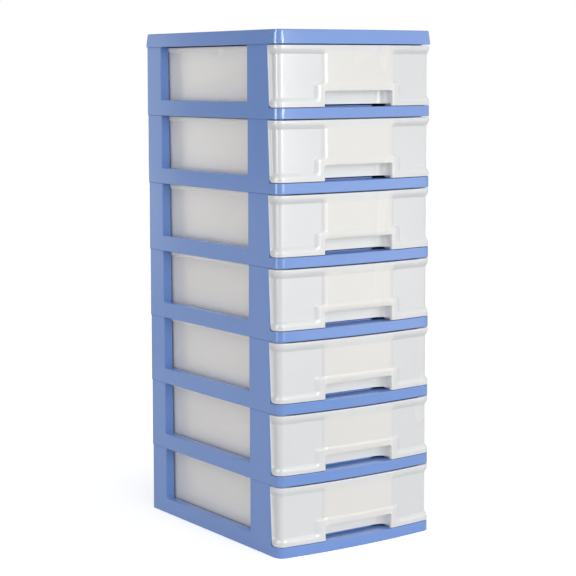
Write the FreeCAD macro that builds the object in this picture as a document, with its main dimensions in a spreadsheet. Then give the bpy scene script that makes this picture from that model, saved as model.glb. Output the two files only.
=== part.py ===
import FreeCAD, Part
import os
import Sketcher

# Plastic drawer tower: seven stacked tier frames, seven sliding drawers and a lid.
# Millimetres, +Z up, the front of the drawers faces -Y.
# The origin is the centre of the footprint, on the surface that the tower stands on.

SIZES = (
    # Whole tower
    ("tier_pitch", 95.0),
    ("frame_width", 252.0),
    ("frame_depth", 336.0),
    ("front_bow", 8.0),
    ("corner_radius", 12.0),
    ("rear_corner_radius", 3.5),
    ("fit_clearance", 0.3),
    ("cut_overrun", 5.0),
    # Tier frame: rail, posts and shelf
    ("frame_wall", 2.2),
    ("wall_draft", 0.8),
    ("front_rail_height", 14.2),
    ("side_rail_height", 21.5),
    ("rail_width", 12.5),
    ("post_gap", 1.0),
    ("window_front", 68.0),
    ("window_rear", 39.0),
    ("window_radius", 1.5),
    ("rear_post_width", 13.7),
    ("tenon_height", 8.0),
    ("tenon_chamfer", 1.0),
    ("tenon_wall", 1.6),
    ("rib_thickness", 1.6),
    ("cross_rib_setback", 2.5),
    ("long_rib_setback", 4.0),
    ("guide_height", 2.0),
    ("guide_thickness", 1.8),
    ("guide_end_gap", 14.0),
    ("ridge_setback", 28.0),
    ("ridge_width", 80.0),
    ("ridge_height", 2.0),
    ("ridge_thickness", 2.0),
    ("edge_round", 0.8),
    ("seam_chamfer", 0.5),
    # Lid
    ("lid_height", 18.3),
    ("lid_overhang", 1.3),
    ("lid_flare", 2.4),
    ("lid_recess_depth", 1.0),
    ("lid_border", 9.0),
    ("lid_edge_radius", 2.0),
    # Drawer front
    ("gap_below_front", 0.6),
    ("gap_above_front", 1.4),
    ("drawer_wall", 2.2),
    ("return_foot", 16.7),
    ("return_head", 20.7),
    ("return_radius", 5.0),
    ("panel_recess", 3.5),
    ("rim_height", 5.2),
    ("rim_slope_height", 6.0),
    ("band_height", 5.6),
    ("band_slope_height", 5.2),
    ("centre_half_width", 63.5),
    ("centre_slope_width", 10.0),
    ("centre_recess", 1.0),
    ("hood_border", 10.0),
    ("hood_radius", 9.0),
    ("front_edge_round", 1.0),
    # Drawer pull
    ("pull_width", 110.0),
    ("pull_height", 20.2),
    ("pull_corner_radius", 3.5),
    ("pull_depth", 22.0),
    ("pull_end_radius", 14.0),
    ("pull_lip", 3.2),
    # Drawer tub
    ("tub_inset", 16.6),
    ("tub_draft", 0.5),
    ("tub_rear_gap", 9.0),
    ("tub_radius", 11.0),
    ("tub_floor_radius", 3.0),
    ("side_lip_reach", 1.5),
    ("side_lip_height", 5.5),
    ("runner_height", 3.3),
    ("runner_width", 2.5),
    ("runner_inset", 8.0),
    ("runner_end_gap", 12.0),
    ("hook_height", 2.4),
    ("hook_thickness", 2.2),
    ("hook_setback", 56.5),
)

TIER_COUNT = 7
CORE_ROUND_SHARE = 0.85
EDGE_TOLERANCE = 0.05
CROSS_RIB_COUNT = 3
LONG_RIB_COUNT = 2
SHEET = "Sizes"


class Size:
    """A length, held as its number and as the sheet formula that gives it."""

    def __init__(self, value, formula):
        self.value = value
        self.formula = formula

    def __add__(self, other):
        return Size(self.value + other.value, f"({self.formula} + {other.formula})")

    def __sub__(self, other):
        return Size(self.value - other.value, f"({self.formula} - {other.formula})")

    def __neg__(self):
        return Size(-self.value, f"(0 - {self.formula})")

    def __mul__(self, other):
        if isinstance(other, Size):
            return Size(self.value * other.value, f"({self.formula} * {other.formula})")
        return Size(self.value * other, f"({self.formula} * {other})")

    def __truediv__(self, other):
        if isinstance(other, Size):
            return Size(self.value / other.value, f"({self.formula} / {other.formula})")
        return Size(self.value / other, f"({self.formula} / {other})")


ZERO = Size(0.0, "0")


def make_sheet(doc):
    """Write the driving sizes into a sheet and return them by name."""
    sheet = doc.addObject("Spreadsheet::Sheet", SHEET)
    for row, (alias, value) in enumerate(SIZES, start=1):
        sheet.set(f"A{row}", alias)
        sheet.set(f"B{row}", str(value))
        sheet.setAlias(f"B{row}", alias)
    doc.recompute()
    return {alias: Size(float(sheet.get(alias)), f"{SHEET}.{alias}") for alias, _ in SIZES}


# Sketches

def new_sketch(body, name, plane, height=ZERO):
    """Attach a sketch to one of the body's own planes, moved along its normal."""
    role = {"plan": "XY_Plane", "front": "XZ_Plane", "side": "YZ_Plane"}[plane]
    support = next(item for item in body.Origin.OriginFeatures if item.Role == role)
    sketch = body.newObject("Sketcher::SketchObject", name)
    sketch.AttachmentSupport = [(support, "")]
    sketch.MapMode = "FlatFace"
    sketch.AttachmentOffset = FreeCAD.Placement(
        FreeCAD.Vector(0, 0, height.value), FreeCAD.Rotation())
    sketch.setExpression("AttachmentOffset.Base.z", height.formula)
    return sketch


def vector(horizontal, vertical):
    """A sketch point from two plain numbers."""
    return FreeCAD.Vector(horizontal, vertical, 0)


def bind(sketch, constraint, size):
    """Add a dimension and bind it to its formula."""
    index = sketch.addConstraint(constraint)
    sketch.setExpression(f"Constraints[{index}]", size.formula)


def place(sketch, edge, end, horizontal=None, vertical=None):
    """Dimension one end of an edge from the sketch origin."""
    if horizontal is not None:
        bind(sketch, Sketcher.Constraint("DistanceX", -1, 1, edge, end, horizontal.value), horizontal)
    if vertical is not None:
        bind(sketch, Sketcher.Constraint("DistanceY", -1, 1, edge, end, vertical.value), vertical)


def polygon(sketch, corners):
    """A closed outline of straight edges through the given corners."""
    first = sketch.GeometryCount
    count = len(corners)
    for index, (across, up) in enumerate(corners):
        next_across, next_up = corners[(index + 1) % count]
        start = vector(across.value, up.value)
        sketch.addGeometry(Part.LineSegment(start, vector(next_across.value, next_up.value)), False)
    for index, (across, up) in enumerate(corners):
        edge = first + index
        sketch.addConstraint(Sketcher.Constraint("Coincident", edge, 2, first + (index + 1) % count, 1))
        place(sketch, edge, 1, across, up)


def rectangle(sketch, left, right, low, high):
    """A closed rectangle."""
    polygon(sketch, ((left, low), (right, low), (right, high), (left, high)))


def rounded_outline(sketch, corners, radii):
    """A closed outline of level and upright edges; a corner with a radius is an arc."""
    count = len(corners)
    points = [vector(across.value, up.value) for across, up in corners]
    starts = []
    ends = []
    arcs = []
    for index in range(count):
        here = points[index]
        back = (points[index - 1] - here).normalize()
        ahead = (points[(index + 1) % count] - here).normalize()
        radius = radii[index].value if radii[index] else 0.0
        ends.append(here + back * radius)
        starts.append(here + ahead * radius)
        if radii[index]:
            centre = here + back * radius + ahead * radius
            middle = centre - (back + ahead).normalize() * radius
            arcs.append(Part.Arc(here + back * radius, middle, here + ahead * radius))
        else:
            arcs.append(None)
    first = sketch.GeometryCount
    for index in range(count):
        sketch.addGeometry(Part.LineSegment(starts[index], ends[(index + 1) % count]), False)
    for index in range(count):
        edge = first + index
        across, up = corners[index]
        level = abs(starts[index].y - ends[(index + 1) % count].y) < abs(
            starts[index].x - ends[(index + 1) % count].x)
        sketch.addConstraint(Sketcher.Constraint("Horizontal" if level else "Vertical", edge))
        place(sketch, edge, 1, None if level else across, up if level else None)
    for index, arc in enumerate(arcs):
        before = first + (index - 1) % count
        after = first + index
        if arc is None:
            sketch.addConstraint(Sketcher.Constraint("Coincident", before, 2, after, 1))
            continue
        join_with_arc(sketch, arc, before, after, radii[index])


def mirrored_outline(sketch, corners, radii):
    """Draw a rounded outline and its mirror image across the middle plane."""
    rounded_outline(sketch, corners, radii)
    image = tuple((-across, up) for across, up in reversed(corners))
    rounded_outline(sketch, image, tuple(reversed(radii)))


def join_with_arc(sketch, arc, before, after, radius):
    """Join two edges with a tangent arc of a given radius."""
    start = sketch.Geometry[before].EndPoint
    index = sketch.addGeometry(arc, False)
    drawn = sketch.Geometry[index]
    from_start = drawn.StartPoint.distanceToPoint(start) < drawn.EndPoint.distanceToPoint(start)
    near, far = (1, 2) if from_start else (2, 1)
    sketch.addConstraint(Sketcher.Constraint("Tangent", before, 2, index, near))
    sketch.addConstraint(Sketcher.Constraint("Tangent", index, far, after, 1))
    bind(sketch, Sketcher.Constraint("Radius", index, radius.value), radius)


class BowedPlan:
    """The bowed plan that the rails, the lid and the drawer fronts share."""

    def __init__(self, sizes):
        self.half_width = sizes["frame_width"] / 2
        self.front = -(sizes["frame_depth"] / 2)
        self.rear = sizes["frame_depth"] / 2
        self.bow = sizes["front_bow"]
        self.radius = sizes["corner_radius"]
        self.rear_radius = sizes["rear_corner_radius"]
        half = self.half_width
        self.bow_radius = (half * half + self.bow * self.bow) / (self.bow * 2)
        self.bow_centre = self.front + self.bow_radius
        self.front_corner = self.front + self.bow

    def bow_point(self, across, inset):
        """The height in plan of the bowed front, moved inward by inset, at a place across."""
        reach = self.bow_radius.value - inset.value
        return self.bow_centre.value - (reach * reach - across * across) ** 0.5

    def draw(self, sketch, inset, rear=None, corner=None, rear_corner=None):
        """Draw the closed plan; a plan that ends at a rear of its own has square rear corners."""
        side = self.half_width - inset
        back = rear or (self.rear - inset)
        radius = corner or (self.radius - inset)
        rear_radius = rear_corner or corner or (self.rear_radius - inset)
        reach = self.bow_radius - inset
        centre_y = self.bow_centre.value
        corner_x = side.value - radius.value
        corner_y = centre_y - ((reach.value - radius.value) ** 2 - corner_x ** 2) ** 0.5
        share = reach.value / (reach.value - radius.value)
        touch_x = corner_x * share
        touch_y = centre_y + (corner_y - centre_y) * share
        turn = 0.0 if rear else rear_radius.value
        rear_x = side.value - turn
        rear_y = back.value - turn
        first = sketch.GeometryCount
        bow, right, top, left = first, first + 1, first + 2, first + 3
        middle = vector(0, centre_y - reach.value)
        sketch.addGeometry(Part.Arc(vector(-touch_x, touch_y), middle, vector(touch_x, touch_y)), False)
        sketch.addGeometry(Part.LineSegment(
            vector(side.value, corner_y), vector(side.value, rear_y)), False)
        sketch.addGeometry(Part.LineSegment(
            vector(rear_x, back.value), vector(-rear_x, back.value)), False)
        sketch.addGeometry(Part.LineSegment(
            vector(-side.value, rear_y), vector(-side.value, corner_y)), False)
        sketch.addConstraint(Sketcher.Constraint("PointOnObject", bow, 3, -2))
        place(sketch, bow, 3, None, self.bow_centre)
        bind(sketch, Sketcher.Constraint("Radius", bow, reach.value), reach)
        sketch.addConstraint(Sketcher.Constraint("Vertical", right))
        place(sketch, right, 1, side)
        sketch.addConstraint(Sketcher.Constraint("Horizontal", top))
        place(sketch, top, 1, None, back)
        sketch.addConstraint(Sketcher.Constraint("Vertical", left))
        place(sketch, left, 1, -side)
        self.front_arc(sketch, bow, right, (corner_x, corner_y), (touch_x, touch_y), radius, 1)
        self.front_arc(sketch, bow, left, (corner_x, corner_y), (touch_x, touch_y), radius, -1)
        if rear:
            sketch.addConstraint(Sketcher.Constraint("Coincident", right, 2, top, 1))
            sketch.addConstraint(Sketcher.Constraint("Coincident", top, 2, left, 1))
            return
        spread = turn * 0.5 ** 0.5
        right_arc = Part.Arc(vector(side.value, rear_y), vector(rear_x + spread, rear_y + spread),
                             vector(rear_x, back.value))
        left_arc = Part.Arc(vector(-rear_x, back.value), vector(-rear_x - spread, rear_y + spread),
                            vector(-side.value, rear_y))
        join_with_arc(sketch, right_arc, right, top, rear_radius)
        join_with_arc(sketch, left_arc, top, left, rear_radius)

    @staticmethod
    def front_arc(sketch, bow, side, corner, touch, radius, hand):
        """Round the corner between the bow and one side; hand is 1 right, -1 left."""
        corner_x, corner_y = corner
        touch_x, touch_y = touch
        turn_start = FreeCAD.Vector(touch_x - corner_x, touch_y - corner_y, 0)
        turn_middle = (turn_start.normalize() + FreeCAD.Vector(1, 0, 0)).normalize()
        middle = vector(hand * (corner_x + turn_middle.x * radius.value),
                        corner_y + turn_middle.y * radius.value)
        side_end = vector(hand * (corner_x + radius.value), corner_y)
        index = sketch.addGeometry(Part.Arc(vector(hand * touch_x, touch_y), middle, side_end), False)
        on_bow, on_side = (1, 2) if hand > 0 else (2, 1)
        sketch.addConstraint(Sketcher.Constraint("Tangent", bow, 2 if hand > 0 else 1, index, on_bow))
        sketch.addConstraint(Sketcher.Constraint("Tangent", index, on_side, side, 1 if hand > 0 else 2))
        bind(sketch, Sketcher.Constraint("Radius", index, radius.value), radius)

    def draw_slice(self, sketch, inset, front_half, rear_half, rear):
        """A closed slice of the plan: the bowed front between two sides, and a straight rear."""
        reach = self.bow_radius - inset
        half = front_half.value
        front_y = self.bow_point(half, inset)
        first = sketch.GeometryCount
        bow, right, back, left = first, first + 1, first + 2, first + 3
        middle = vector(0, self.bow_centre.value - reach.value)
        sketch.addGeometry(Part.Arc(vector(-half, front_y), middle, vector(half, front_y)), False)
        sketch.addGeometry(Part.LineSegment(
            vector(half, front_y), vector(rear_half.value, rear.value)), False)
        sketch.addGeometry(Part.LineSegment(
            vector(rear_half.value, rear.value), vector(-rear_half.value, rear.value)), False)
        sketch.addGeometry(Part.LineSegment(
            vector(-rear_half.value, rear.value), vector(-half, front_y)), False)
        sketch.addConstraint(Sketcher.Constraint("PointOnObject", bow, 3, -2))
        place(sketch, bow, 3, None, self.bow_centre)
        bind(sketch, Sketcher.Constraint("Radius", bow, reach.value), reach)
        place(sketch, bow, 1, -front_half)
        place(sketch, bow, 2, front_half)
        sketch.addConstraint(Sketcher.Constraint("Coincident", bow, 2, right, 1))
        sketch.addConstraint(Sketcher.Constraint("Coincident", right, 2, back, 1))
        sketch.addConstraint(Sketcher.Constraint("Coincident", back, 2, left, 1))
        sketch.addConstraint(Sketcher.Constraint("Coincident", left, 2, bow, 1))
        place(sketch, back, 1, rear_half, rear)
        place(sketch, back, 2, -rear_half, rear)

    def draw_tub(self, sketch, inset, side, rear, radius):
        """A closed outline with the bowed front, straight sides and rounded rear corners."""
        reach = self.bow_radius - inset
        half = side.value
        front_y = self.bow_point(half, inset)
        side_end = rear.value - radius.value
        top_end = half - radius.value
        first = sketch.GeometryCount
        bow, right, top, left = first, first + 1, first + 2, first + 3
        middle = vector(0, self.bow_centre.value - reach.value)
        sketch.addGeometry(Part.Arc(vector(-half, front_y), middle, vector(half, front_y)), False)
        sketch.addGeometry(Part.LineSegment(vector(half, front_y), vector(half, side_end)), False)
        sketch.addGeometry(Part.LineSegment(vector(top_end, rear.value), vector(-top_end, rear.value)), False)
        sketch.addGeometry(Part.LineSegment(vector(-half, side_end), vector(-half, front_y)), False)
        sketch.addConstraint(Sketcher.Constraint("PointOnObject", bow, 3, -2))
        place(sketch, bow, 3, None, self.bow_centre)
        bind(sketch, Sketcher.Constraint("Radius", bow, reach.value), reach)
        sketch.addConstraint(Sketcher.Constraint("Coincident", bow, 2, right, 1))
        sketch.addConstraint(Sketcher.Constraint("Coincident", left, 2, bow, 1))
        sketch.addConstraint(Sketcher.Constraint("Vertical", right))
        place(sketch, right, 1, side)
        sketch.addConstraint(Sketcher.Constraint("Horizontal", top))
        place(sketch, top, 1, None, rear)
        sketch.addConstraint(Sketcher.Constraint("Vertical", left))
        place(sketch, left, 2, -side)
        spread = radius.value * 0.5 ** 0.5
        right_arc = Part.Arc(vector(half, side_end), vector(top_end + spread, side_end + spread),
                             vector(top_end, rear.value))
        left_arc = Part.Arc(vector(-top_end, rear.value), vector(-top_end - spread, side_end + spread),
                            vector(-half, side_end))
        join_with_arc(sketch, right_arc, right, top, radius)
        join_with_arc(sketch, left_arc, top, left, radius)


# Features

def add_feature(body, kind, name, sketch, length, reverse=False, taper=None):
    """Add a pad or a pocket of a bound length, and check that it changed the solid."""
    before = body.Tip.Shape.Volume if body.Tip else 0.0
    feature = body.newObject(f"PartDesign::{kind}", name)
    feature.Profile = (sketch, [""])
    feature.Length = length.value
    feature.setExpression("Length", length.formula)
    feature.Reversed = reverse
    if taper is not None:
        run, rise, sign = taper
        feature.setExpression("TaperAngle", f"{sign}atan({run.formula} / {rise.formula})")
    body.Document.recompute()
    check_change(feature, kind, before)
    return feature


def add_through_cut(body, name, sketch):
    """Cut a profile through the whole body, both ways from its plane."""
    before = body.Tip.Shape.Volume
    feature = body.newObject("PartDesign::Pocket", name)
    feature.Profile = (sketch, [""])
    feature.SideType = "Symmetric"
    feature.Type = "ThroughAll"
    body.Document.recompute()
    check_change(feature, "Pocket", before)
    return feature


def check_change(feature, kind, before):
    """Stop if a pad added nothing or a pocket cut nothing."""
    after = feature.Shape.Volume
    grew = after > before
    if after == before or grew != (kind == "Pad"):
        raise RuntimeError(f"{feature.Label} changed nothing")


def dress_edges(body, kind, name, size, chosen):
    """Fillet or chamfer the edges of the body's tip that the test chooses."""
    base = body.Tip
    names = [f"Edge{index}" for index, edge in enumerate(base.Shape.Edges, start=1) if chosen(edge)]
    if not names:
        raise RuntimeError(f"{name} found no edges")
    feature = body.newObject(f"PartDesign::{kind}", name)
    feature.Base = (base, names)
    if kind == "Fillet":
        feature.setExpression("Radius", size.formula)
    else:
        feature.setExpression("Size", size.formula)
    body.Document.recompute()
    return feature


def lies_at(edge, height):
    """True for an edge that lies level at a height."""
    box = edge.BoundBox
    return abs(box.ZMin - height.value) < EDGE_TOLERANCE > abs(box.ZMax - height.value)


def is_across(edge, place):
    """True for an edge that runs straight across at a place along the depth."""
    box = edge.BoundBox
    return abs(box.YMin - place.value) < EDGE_TOLERANCE > abs(box.YMax - place.value)


def follows(edge, outline, reach):
    """True for an edge whose middle lies within reach of an outline, seen from above."""
    middle = edge.valueAt((edge.FirstParameter + edge.LastParameter) / 2)
    level = outline.Shape.BoundBox.ZMin
    return outline.Shape.distToShape(Part.Vertex(middle.x, middle.y, level))[0] < reach.value


def mirrored(sketch, draw, left, right, *rest):
    """Draw one closed shape on each side of the middle plane."""
    draw(sketch, left, right, *rest)
    draw(sketch, -right, -left, *rest)


class Tower:
    """The places that more than one piece is built to."""

    def __init__(self, sizes):
        self.sizes = sizes
        self.plan = BowedPlan(sizes)
        half = self.plan.half_width
        wall = sizes["frame_wall"]
        front_corner = self.plan.front_corner
        self.front_far = self.plan.front - sizes["cut_overrun"]
        self.bay_half = half - sizes["rail_width"]
        self.rear_bay_half = half - sizes["rear_post_width"]
        self.core_half = half - sizes["wall_draft"] - wall
        self.back_inner = self.plan.rear - sizes["wall_draft"] - wall
        self.window_front = front_corner + sizes["window_front"]
        self.window_rear = self.plan.rear - sizes["window_rear"]
        self.return_head = front_corner + sizes["return_head"]
        self.return_foot = front_corner + sizes["return_foot"]
        self.post_head = self.return_head + sizes["post_gap"]
        self.post_foot = self.return_foot + sizes["post_gap"]
        self.shelf_top = sizes["front_rail_height"]
        self.shelf_under = self.shelf_top - wall
        self.post_core_front = self.post_head + wall
        self.post_core_rear = self.window_front - wall
        self.rear_core_front = self.window_rear + wall
        self.rear_core_half = self.rear_bay_half + wall
        self.rear_core_round = (self.core_half - self.rear_core_half) * CORE_ROUND_SHARE
        self.front_core_half = self.bay_half + wall
        self.cell_round = (self.core_half - self.front_core_half) * CORE_ROUND_SHARE
        self.tub_half = half - sizes["tub_inset"]
        self.tub_rear = self.back_inner - sizes["tub_rear_gap"]
        self.tub_under = self.shelf_top + sizes["fit_clearance"] + sizes["runner_height"]
        self.runner_outer = self.tub_half - sizes["runner_inset"]
        self.ridge_front = self.plan.front + sizes["ridge_setback"]
        self.ridge_rear = self.ridge_front + sizes["ridge_thickness"]
        self.ridge_half = sizes["ridge_width"] / 2
        self.front_foot = self.shelf_top + sizes["gap_below_front"]
        self.front_top = sizes["tier_pitch"] - sizes["gap_above_front"]


def cut_underside(body, tower, shelf_depth, rail_depth, post_depth):
    """Hollow the underside that the frames and the lid share: shelf, rails and posts."""
    wall = tower.sizes["frame_wall"]
    inner = tower.front_core_half
    outer = tower.core_half
    shelf = new_sketch(body, "shelf_hollow_plan", "plan")
    tower.plan.draw_slice(shelf, wall, tower.bay_half, tower.rear_bay_half, tower.back_inner)
    add_feature(body, "Pocket", "shelf_hollow", shelf, shelf_depth, reverse=True)
    cells = new_sketch(body, "corner_cell_plan", "plan")
    front = tower.plan.front_corner + wall * 2
    mirrored_outline(
        cells,
        ((inner, front), (outer, front), (outer, tower.post_head), (inner, tower.post_head)),
        (None, tower.cell_round, None, None))
    add_feature(body, "Pocket", "corner_cells", cells, shelf_depth, reverse=True)
    rails = new_sketch(body, "rail_channel_plan", "plan")
    mirrored(rails, rectangle, inner, outer, tower.window_front, tower.window_rear)
    add_feature(body, "Pocket", "rail_channels", rails, rail_depth, reverse=True)
    posts = new_sketch(body, "post_core_plan", "plan")
    mirrored(posts, rectangle, inner, outer, tower.post_core_front, tower.post_core_rear)
    rear_inner = tower.rear_core_half
    mirrored_outline(
        posts,
        ((rear_inner, tower.rear_core_front), (outer, tower.rear_core_front),
         (outer, tower.back_inner), (rear_inner, tower.back_inner)),
        (None, None, tower.rear_core_round, None))
    add_feature(body, "Pocket", "post_cores", posts, post_depth, reverse=True)


# Tier frame

def make_frame(doc, tower, name):
    """One tier: shelf, rail ring, four posts with tenons, side windows and a back panel."""
    sizes = tower.sizes
    plan = tower.plan
    pitch = sizes["tier_pitch"]
    wall = sizes["frame_wall"]
    overrun = sizes["cut_overrun"]
    body = doc.addObject("PartDesign::Body", name)
    outline = new_sketch(body, "outline", "plan")
    plan.draw(outline, ZERO)
    add_feature(body, "Pad", "block", outline, pitch, taper=(sizes["wall_draft"], pitch, "-"))
    cut_bay(body, tower)
    opening = new_sketch(body, "front_opening_side", "side")
    polygon(opening, (
        (tower.front_far, tower.shelf_top), (tower.post_foot, tower.shelf_top),
        (tower.post_head, pitch), (tower.post_head, pitch + overrun),
        (tower.front_far, pitch + overrun)))
    add_through_cut(body, "front_opening", opening)
    window = new_sketch(body, "window_side", "side")
    rounded_outline(
        window,
        ((tower.window_front, sizes["side_rail_height"]),
         (tower.window_rear, sizes["side_rail_height"]),
         (tower.window_rear, pitch + overrun), (tower.window_front, pitch + overrun)),
        (sizes["window_radius"], sizes["window_radius"], None, None))
    add_through_cut(body, "side_windows", window)
    cut_underside(body, tower, tower.shelf_under, sizes["side_rail_height"] - wall, pitch - wall)
    add_tenons(body, tower)
    add_shelf_details(body, tower)
    dress_edges(
        body, "Fillet", "front_rail_round", sizes["edge_round"],
        lambda edge: lies_at(edge, tower.shelf_top) and follows(edge, outline, wall / 2))
    dress_edges(
        body, "Chamfer", "seam_chamfer", sizes["seam_chamfer"],
        lambda edge: lies_at(edge, ZERO) and follows(edge, outline, wall / 2))
    return body


def cut_bay(body, tower):
    """Open the bay that the drawer slides in, above the shelf and inside the posts."""
    bay = new_sketch(body, "bay_plan", "plan", tower.shelf_top)
    polygon(bay, (
        (-tower.bay_half, tower.front_far), (tower.bay_half, tower.front_far),
        (tower.bay_half, tower.window_rear), (tower.rear_bay_half, tower.window_rear),
        (tower.rear_bay_half, tower.back_inner), (-tower.rear_bay_half, tower.back_inner),
        (-tower.rear_bay_half, tower.window_rear), (-tower.bay_half, tower.window_rear)))
    add_feature(body, "Pocket", "bay", bay, tower.sizes["tier_pitch"], reverse=True)


def add_tenons(body, tower):
    """The plugs on the post tops, hollow from below, that enter the posts above."""
    sizes = tower.sizes
    gap = sizes["fit_clearance"]
    skin = sizes["tenon_wall"]
    outer = tower.core_half - gap
    rear_end = tower.back_inner - tower.rear_core_round - gap
    spans = (
        (tower.front_core_half + gap, tower.post_core_front + gap, tower.post_core_rear - gap),
        (tower.rear_core_half + gap, tower.rear_core_front + gap, rear_end))
    tenons = new_sketch(body, "tenon_plan", "plan", sizes["tier_pitch"])
    for inner, low, high in spans:
        mirrored(tenons, rectangle, inner, outer, low, high)
    add_feature(body, "Pad", "tenons", tenons, sizes["tenon_height"])
    top = sizes["tier_pitch"] + sizes["tenon_height"]
    dress_edges(body, "Chamfer", "tenon_chamfer", sizes["tenon_chamfer"],
                lambda edge: lies_at(edge, top))
    ceiling = sizes["tier_pitch"] - sizes["frame_wall"]
    cores = new_sketch(body, "tenon_core_plan", "plan", ceiling)
    for inner, low, high in spans:
        mirrored(cores, rectangle, inner + skin, outer - skin, low + skin, high - skin)
    add_feature(body, "Pocket", "tenon_cores", cores, top - skin - ceiling, reverse=True)


def add_shelf_details(body, tower):
    """The stop ridge and drawer guides on the shelf, and the stiffening ribs below it."""
    sizes = tower.sizes
    ridge = new_sketch(body, "ridge_plan", "plan", tower.shelf_top)
    rectangle(ridge, -tower.ridge_half, tower.ridge_half, tower.ridge_front, tower.ridge_rear)
    add_feature(body, "Pad", "stop_ridge", ridge, sizes["ridge_height"])
    guide_inner = tower.runner_outer + sizes["fit_clearance"]
    guides = new_sketch(body, "guide_plan", "plan", tower.shelf_top)
    mirrored(guides, rectangle, guide_inner, guide_inner + sizes["guide_thickness"],
             tower.post_head + sizes["guide_end_gap"], tower.window_rear - sizes["guide_end_gap"])
    add_feature(body, "Pad", "drawer_guides", guides, sizes["guide_height"])
    wall = sizes["frame_wall"]
    half_rib = sizes["rib_thickness"] / 2
    rear = tower.back_inner + wall / 2
    side = tower.rear_bay_half + wall / 2
    front = tower.plan.front_corner
    cross = new_sketch(body, "cross_rib_plan", "plan", sizes["cross_rib_setback"])
    for index in range(CROSS_RIB_COUNT):
        place_y = front + (rear - front) * ((index + 1) / (CROSS_RIB_COUNT + 1))
        rectangle(cross, -side, side, place_y - half_rib, place_y + half_rib)
    root = tower.shelf_under + wall / 2
    add_feature(body, "Pad", "cross_ribs", cross, root - sizes["cross_rib_setback"])
    long_ribs = new_sketch(body, "long_rib_plan", "plan", sizes["long_rib_setback"])
    for index in range(LONG_RIB_COUNT):
        place_x = side * ((index + 1) * 2 / (LONG_RIB_COUNT + 1) - 1)
        rectangle(long_ribs, place_x - half_rib, place_x + half_rib, front, rear)
    add_feature(body, "Pad", "long_ribs", long_ribs, root - sizes["long_rib_setback"])


# Lid

def make_lid(doc, tower, name):
    """The cap of the top tier: flared skirt, shallow recess on top, sockets for the posts."""
    sizes = tower.sizes
    height = sizes["lid_height"]
    overhang = sizes["lid_overhang"]
    floor = height - sizes["lid_recess_depth"]
    body = doc.addObject("PartDesign::Body", name)
    outline = new_sketch(body, "outline", "plan")
    tower.plan.draw(outline, -overhang, rear_corner=tower.plan.rear_radius + sizes["lid_flare"])
    add_feature(body, "Pad", "block", outline, height, taper=(sizes["lid_flare"], height, "-"))
    recess = new_sketch(body, "recess_plan", "plan", floor)
    inset = sizes["lid_flare"] - overhang + sizes["lid_border"]
    tower.plan.draw(recess, inset, corner=tower.plan.radius / 2)
    add_feature(body, "Pocket", "top_recess", recess, height - floor + sizes["cut_overrun"], reverse=True)
    depth = floor - sizes["frame_wall"]
    cut_underside(body, tower, depth, depth, depth)
    outside = sizes["lid_flare"] + sizes["lid_border"] / 2
    dress_edges(
        body, "Fillet", "top_round", sizes["lid_edge_radius"],
        lambda edge: lies_at(edge, height) and follows(edge, outline, outside))
    return body


# Drawer

def make_drawer(doc, tower, name):
    """One drawer: a bowed front with a pull opening, and an open tub on runners."""
    body = doc.addObject("PartDesign::Body", name)
    add_front_block(body, tower)
    add_hood(body, tower)
    shape_returns(body, tower)
    add_tub(body, tower)
    add_pull(body, tower)
    add_drawer_underside(body, tower)
    return body


def add_front_block(body, tower):
    """The drawer front, solid at first: recessed panels, rim, foot band and centre panel."""
    sizes = tower.sizes
    plan = tower.plan
    recess = sizes["panel_recess"]
    foot = tower.front_foot
    top = tower.front_top
    rear = tower.return_head
    panel = new_sketch(body, "panel_plan", "plan", foot)
    plan.draw(panel, recess, rear=rear)
    add_feature(body, "Pad", "panel", panel, top - foot)
    rim_low = top - sizes["rim_height"]
    rim = new_sketch(body, "rim_plan", "plan", rim_low)
    plan.draw(rim, ZERO, rear=rear)
    add_feature(body, "Pad", "rim", rim, sizes["rim_height"])
    slope = new_sketch(body, "rim_slope_plan", "plan", rim_low)
    plan.draw(slope, ZERO, rear=rear)
    add_feature(body, "Pad", "rim_slope", slope, sizes["rim_slope_height"], reverse=True,
                taper=(recess, sizes["rim_slope_height"], "-"))
    band = new_sketch(body, "band_plan", "plan", foot)
    plan.draw(band, ZERO, rear=rear)
    add_feature(body, "Pad", "band", band, sizes["band_height"])
    band_top = foot + sizes["band_height"]
    band_slope = new_sketch(body, "band_slope_plan", "plan", band_top)
    plan.draw(band_slope, ZERO, rear=rear)
    add_feature(body, "Pad", "band_slope", band_slope, sizes["band_slope_height"],
                taper=(recess, sizes["band_slope_height"], "-"))
    centre = new_sketch(body, "centre_plan", "plan", band_top)
    centre_half = sizes["centre_half_width"]
    plan.draw_slice(centre, sizes["centre_recess"], centre_half - sizes["centre_slope_width"],
                    centre_half, plan.front_corner)
    add_feature(body, "Pad", "centre_panel", centre, rim_low - band_top)
    reach = sizes["drawer_wall"] / 2
    dress_edges(
        body, "Fillet", "front_top_round", sizes["front_edge_round"],
        lambda edge: lies_at(edge, top) and follows(edge, rim, reach)
        and not is_across(edge, rear))


def add_hood(body, tower):
    """The raised border round the pull opening, trimmed to the bowed plan."""
    sizes = tower.sizes
    plan = tower.plan
    half = sizes["pull_width"] / 2 + sizes["hood_border"]
    foot = tower.front_foot
    top = foot + sizes["pull_height"] + sizes["hood_border"]
    overrun = sizes["cut_overrun"]
    arch = new_sketch(body, "hood_face", "front", -plan.front_corner)
    rounded_outline(arch, ((-half, foot), (half, foot), (half, top), (-half, top)),
                    (None, None, sizes["hood_radius"], sizes["hood_radius"]))
    add_feature(body, "Pad", "hood", arch, plan.bow + overrun)
    trim = new_sketch(body, "trim_plan", "plan", foot)
    side = plan.half_width + overrun
    rectangle(trim, -side, side, tower.front_far - overrun, tower.return_head + overrun)
    plan.draw(trim, ZERO, rear=tower.return_head)
    add_feature(body, "Pocket", "hood_trim", trim, top - foot + overrun, reverse=True)


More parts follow.
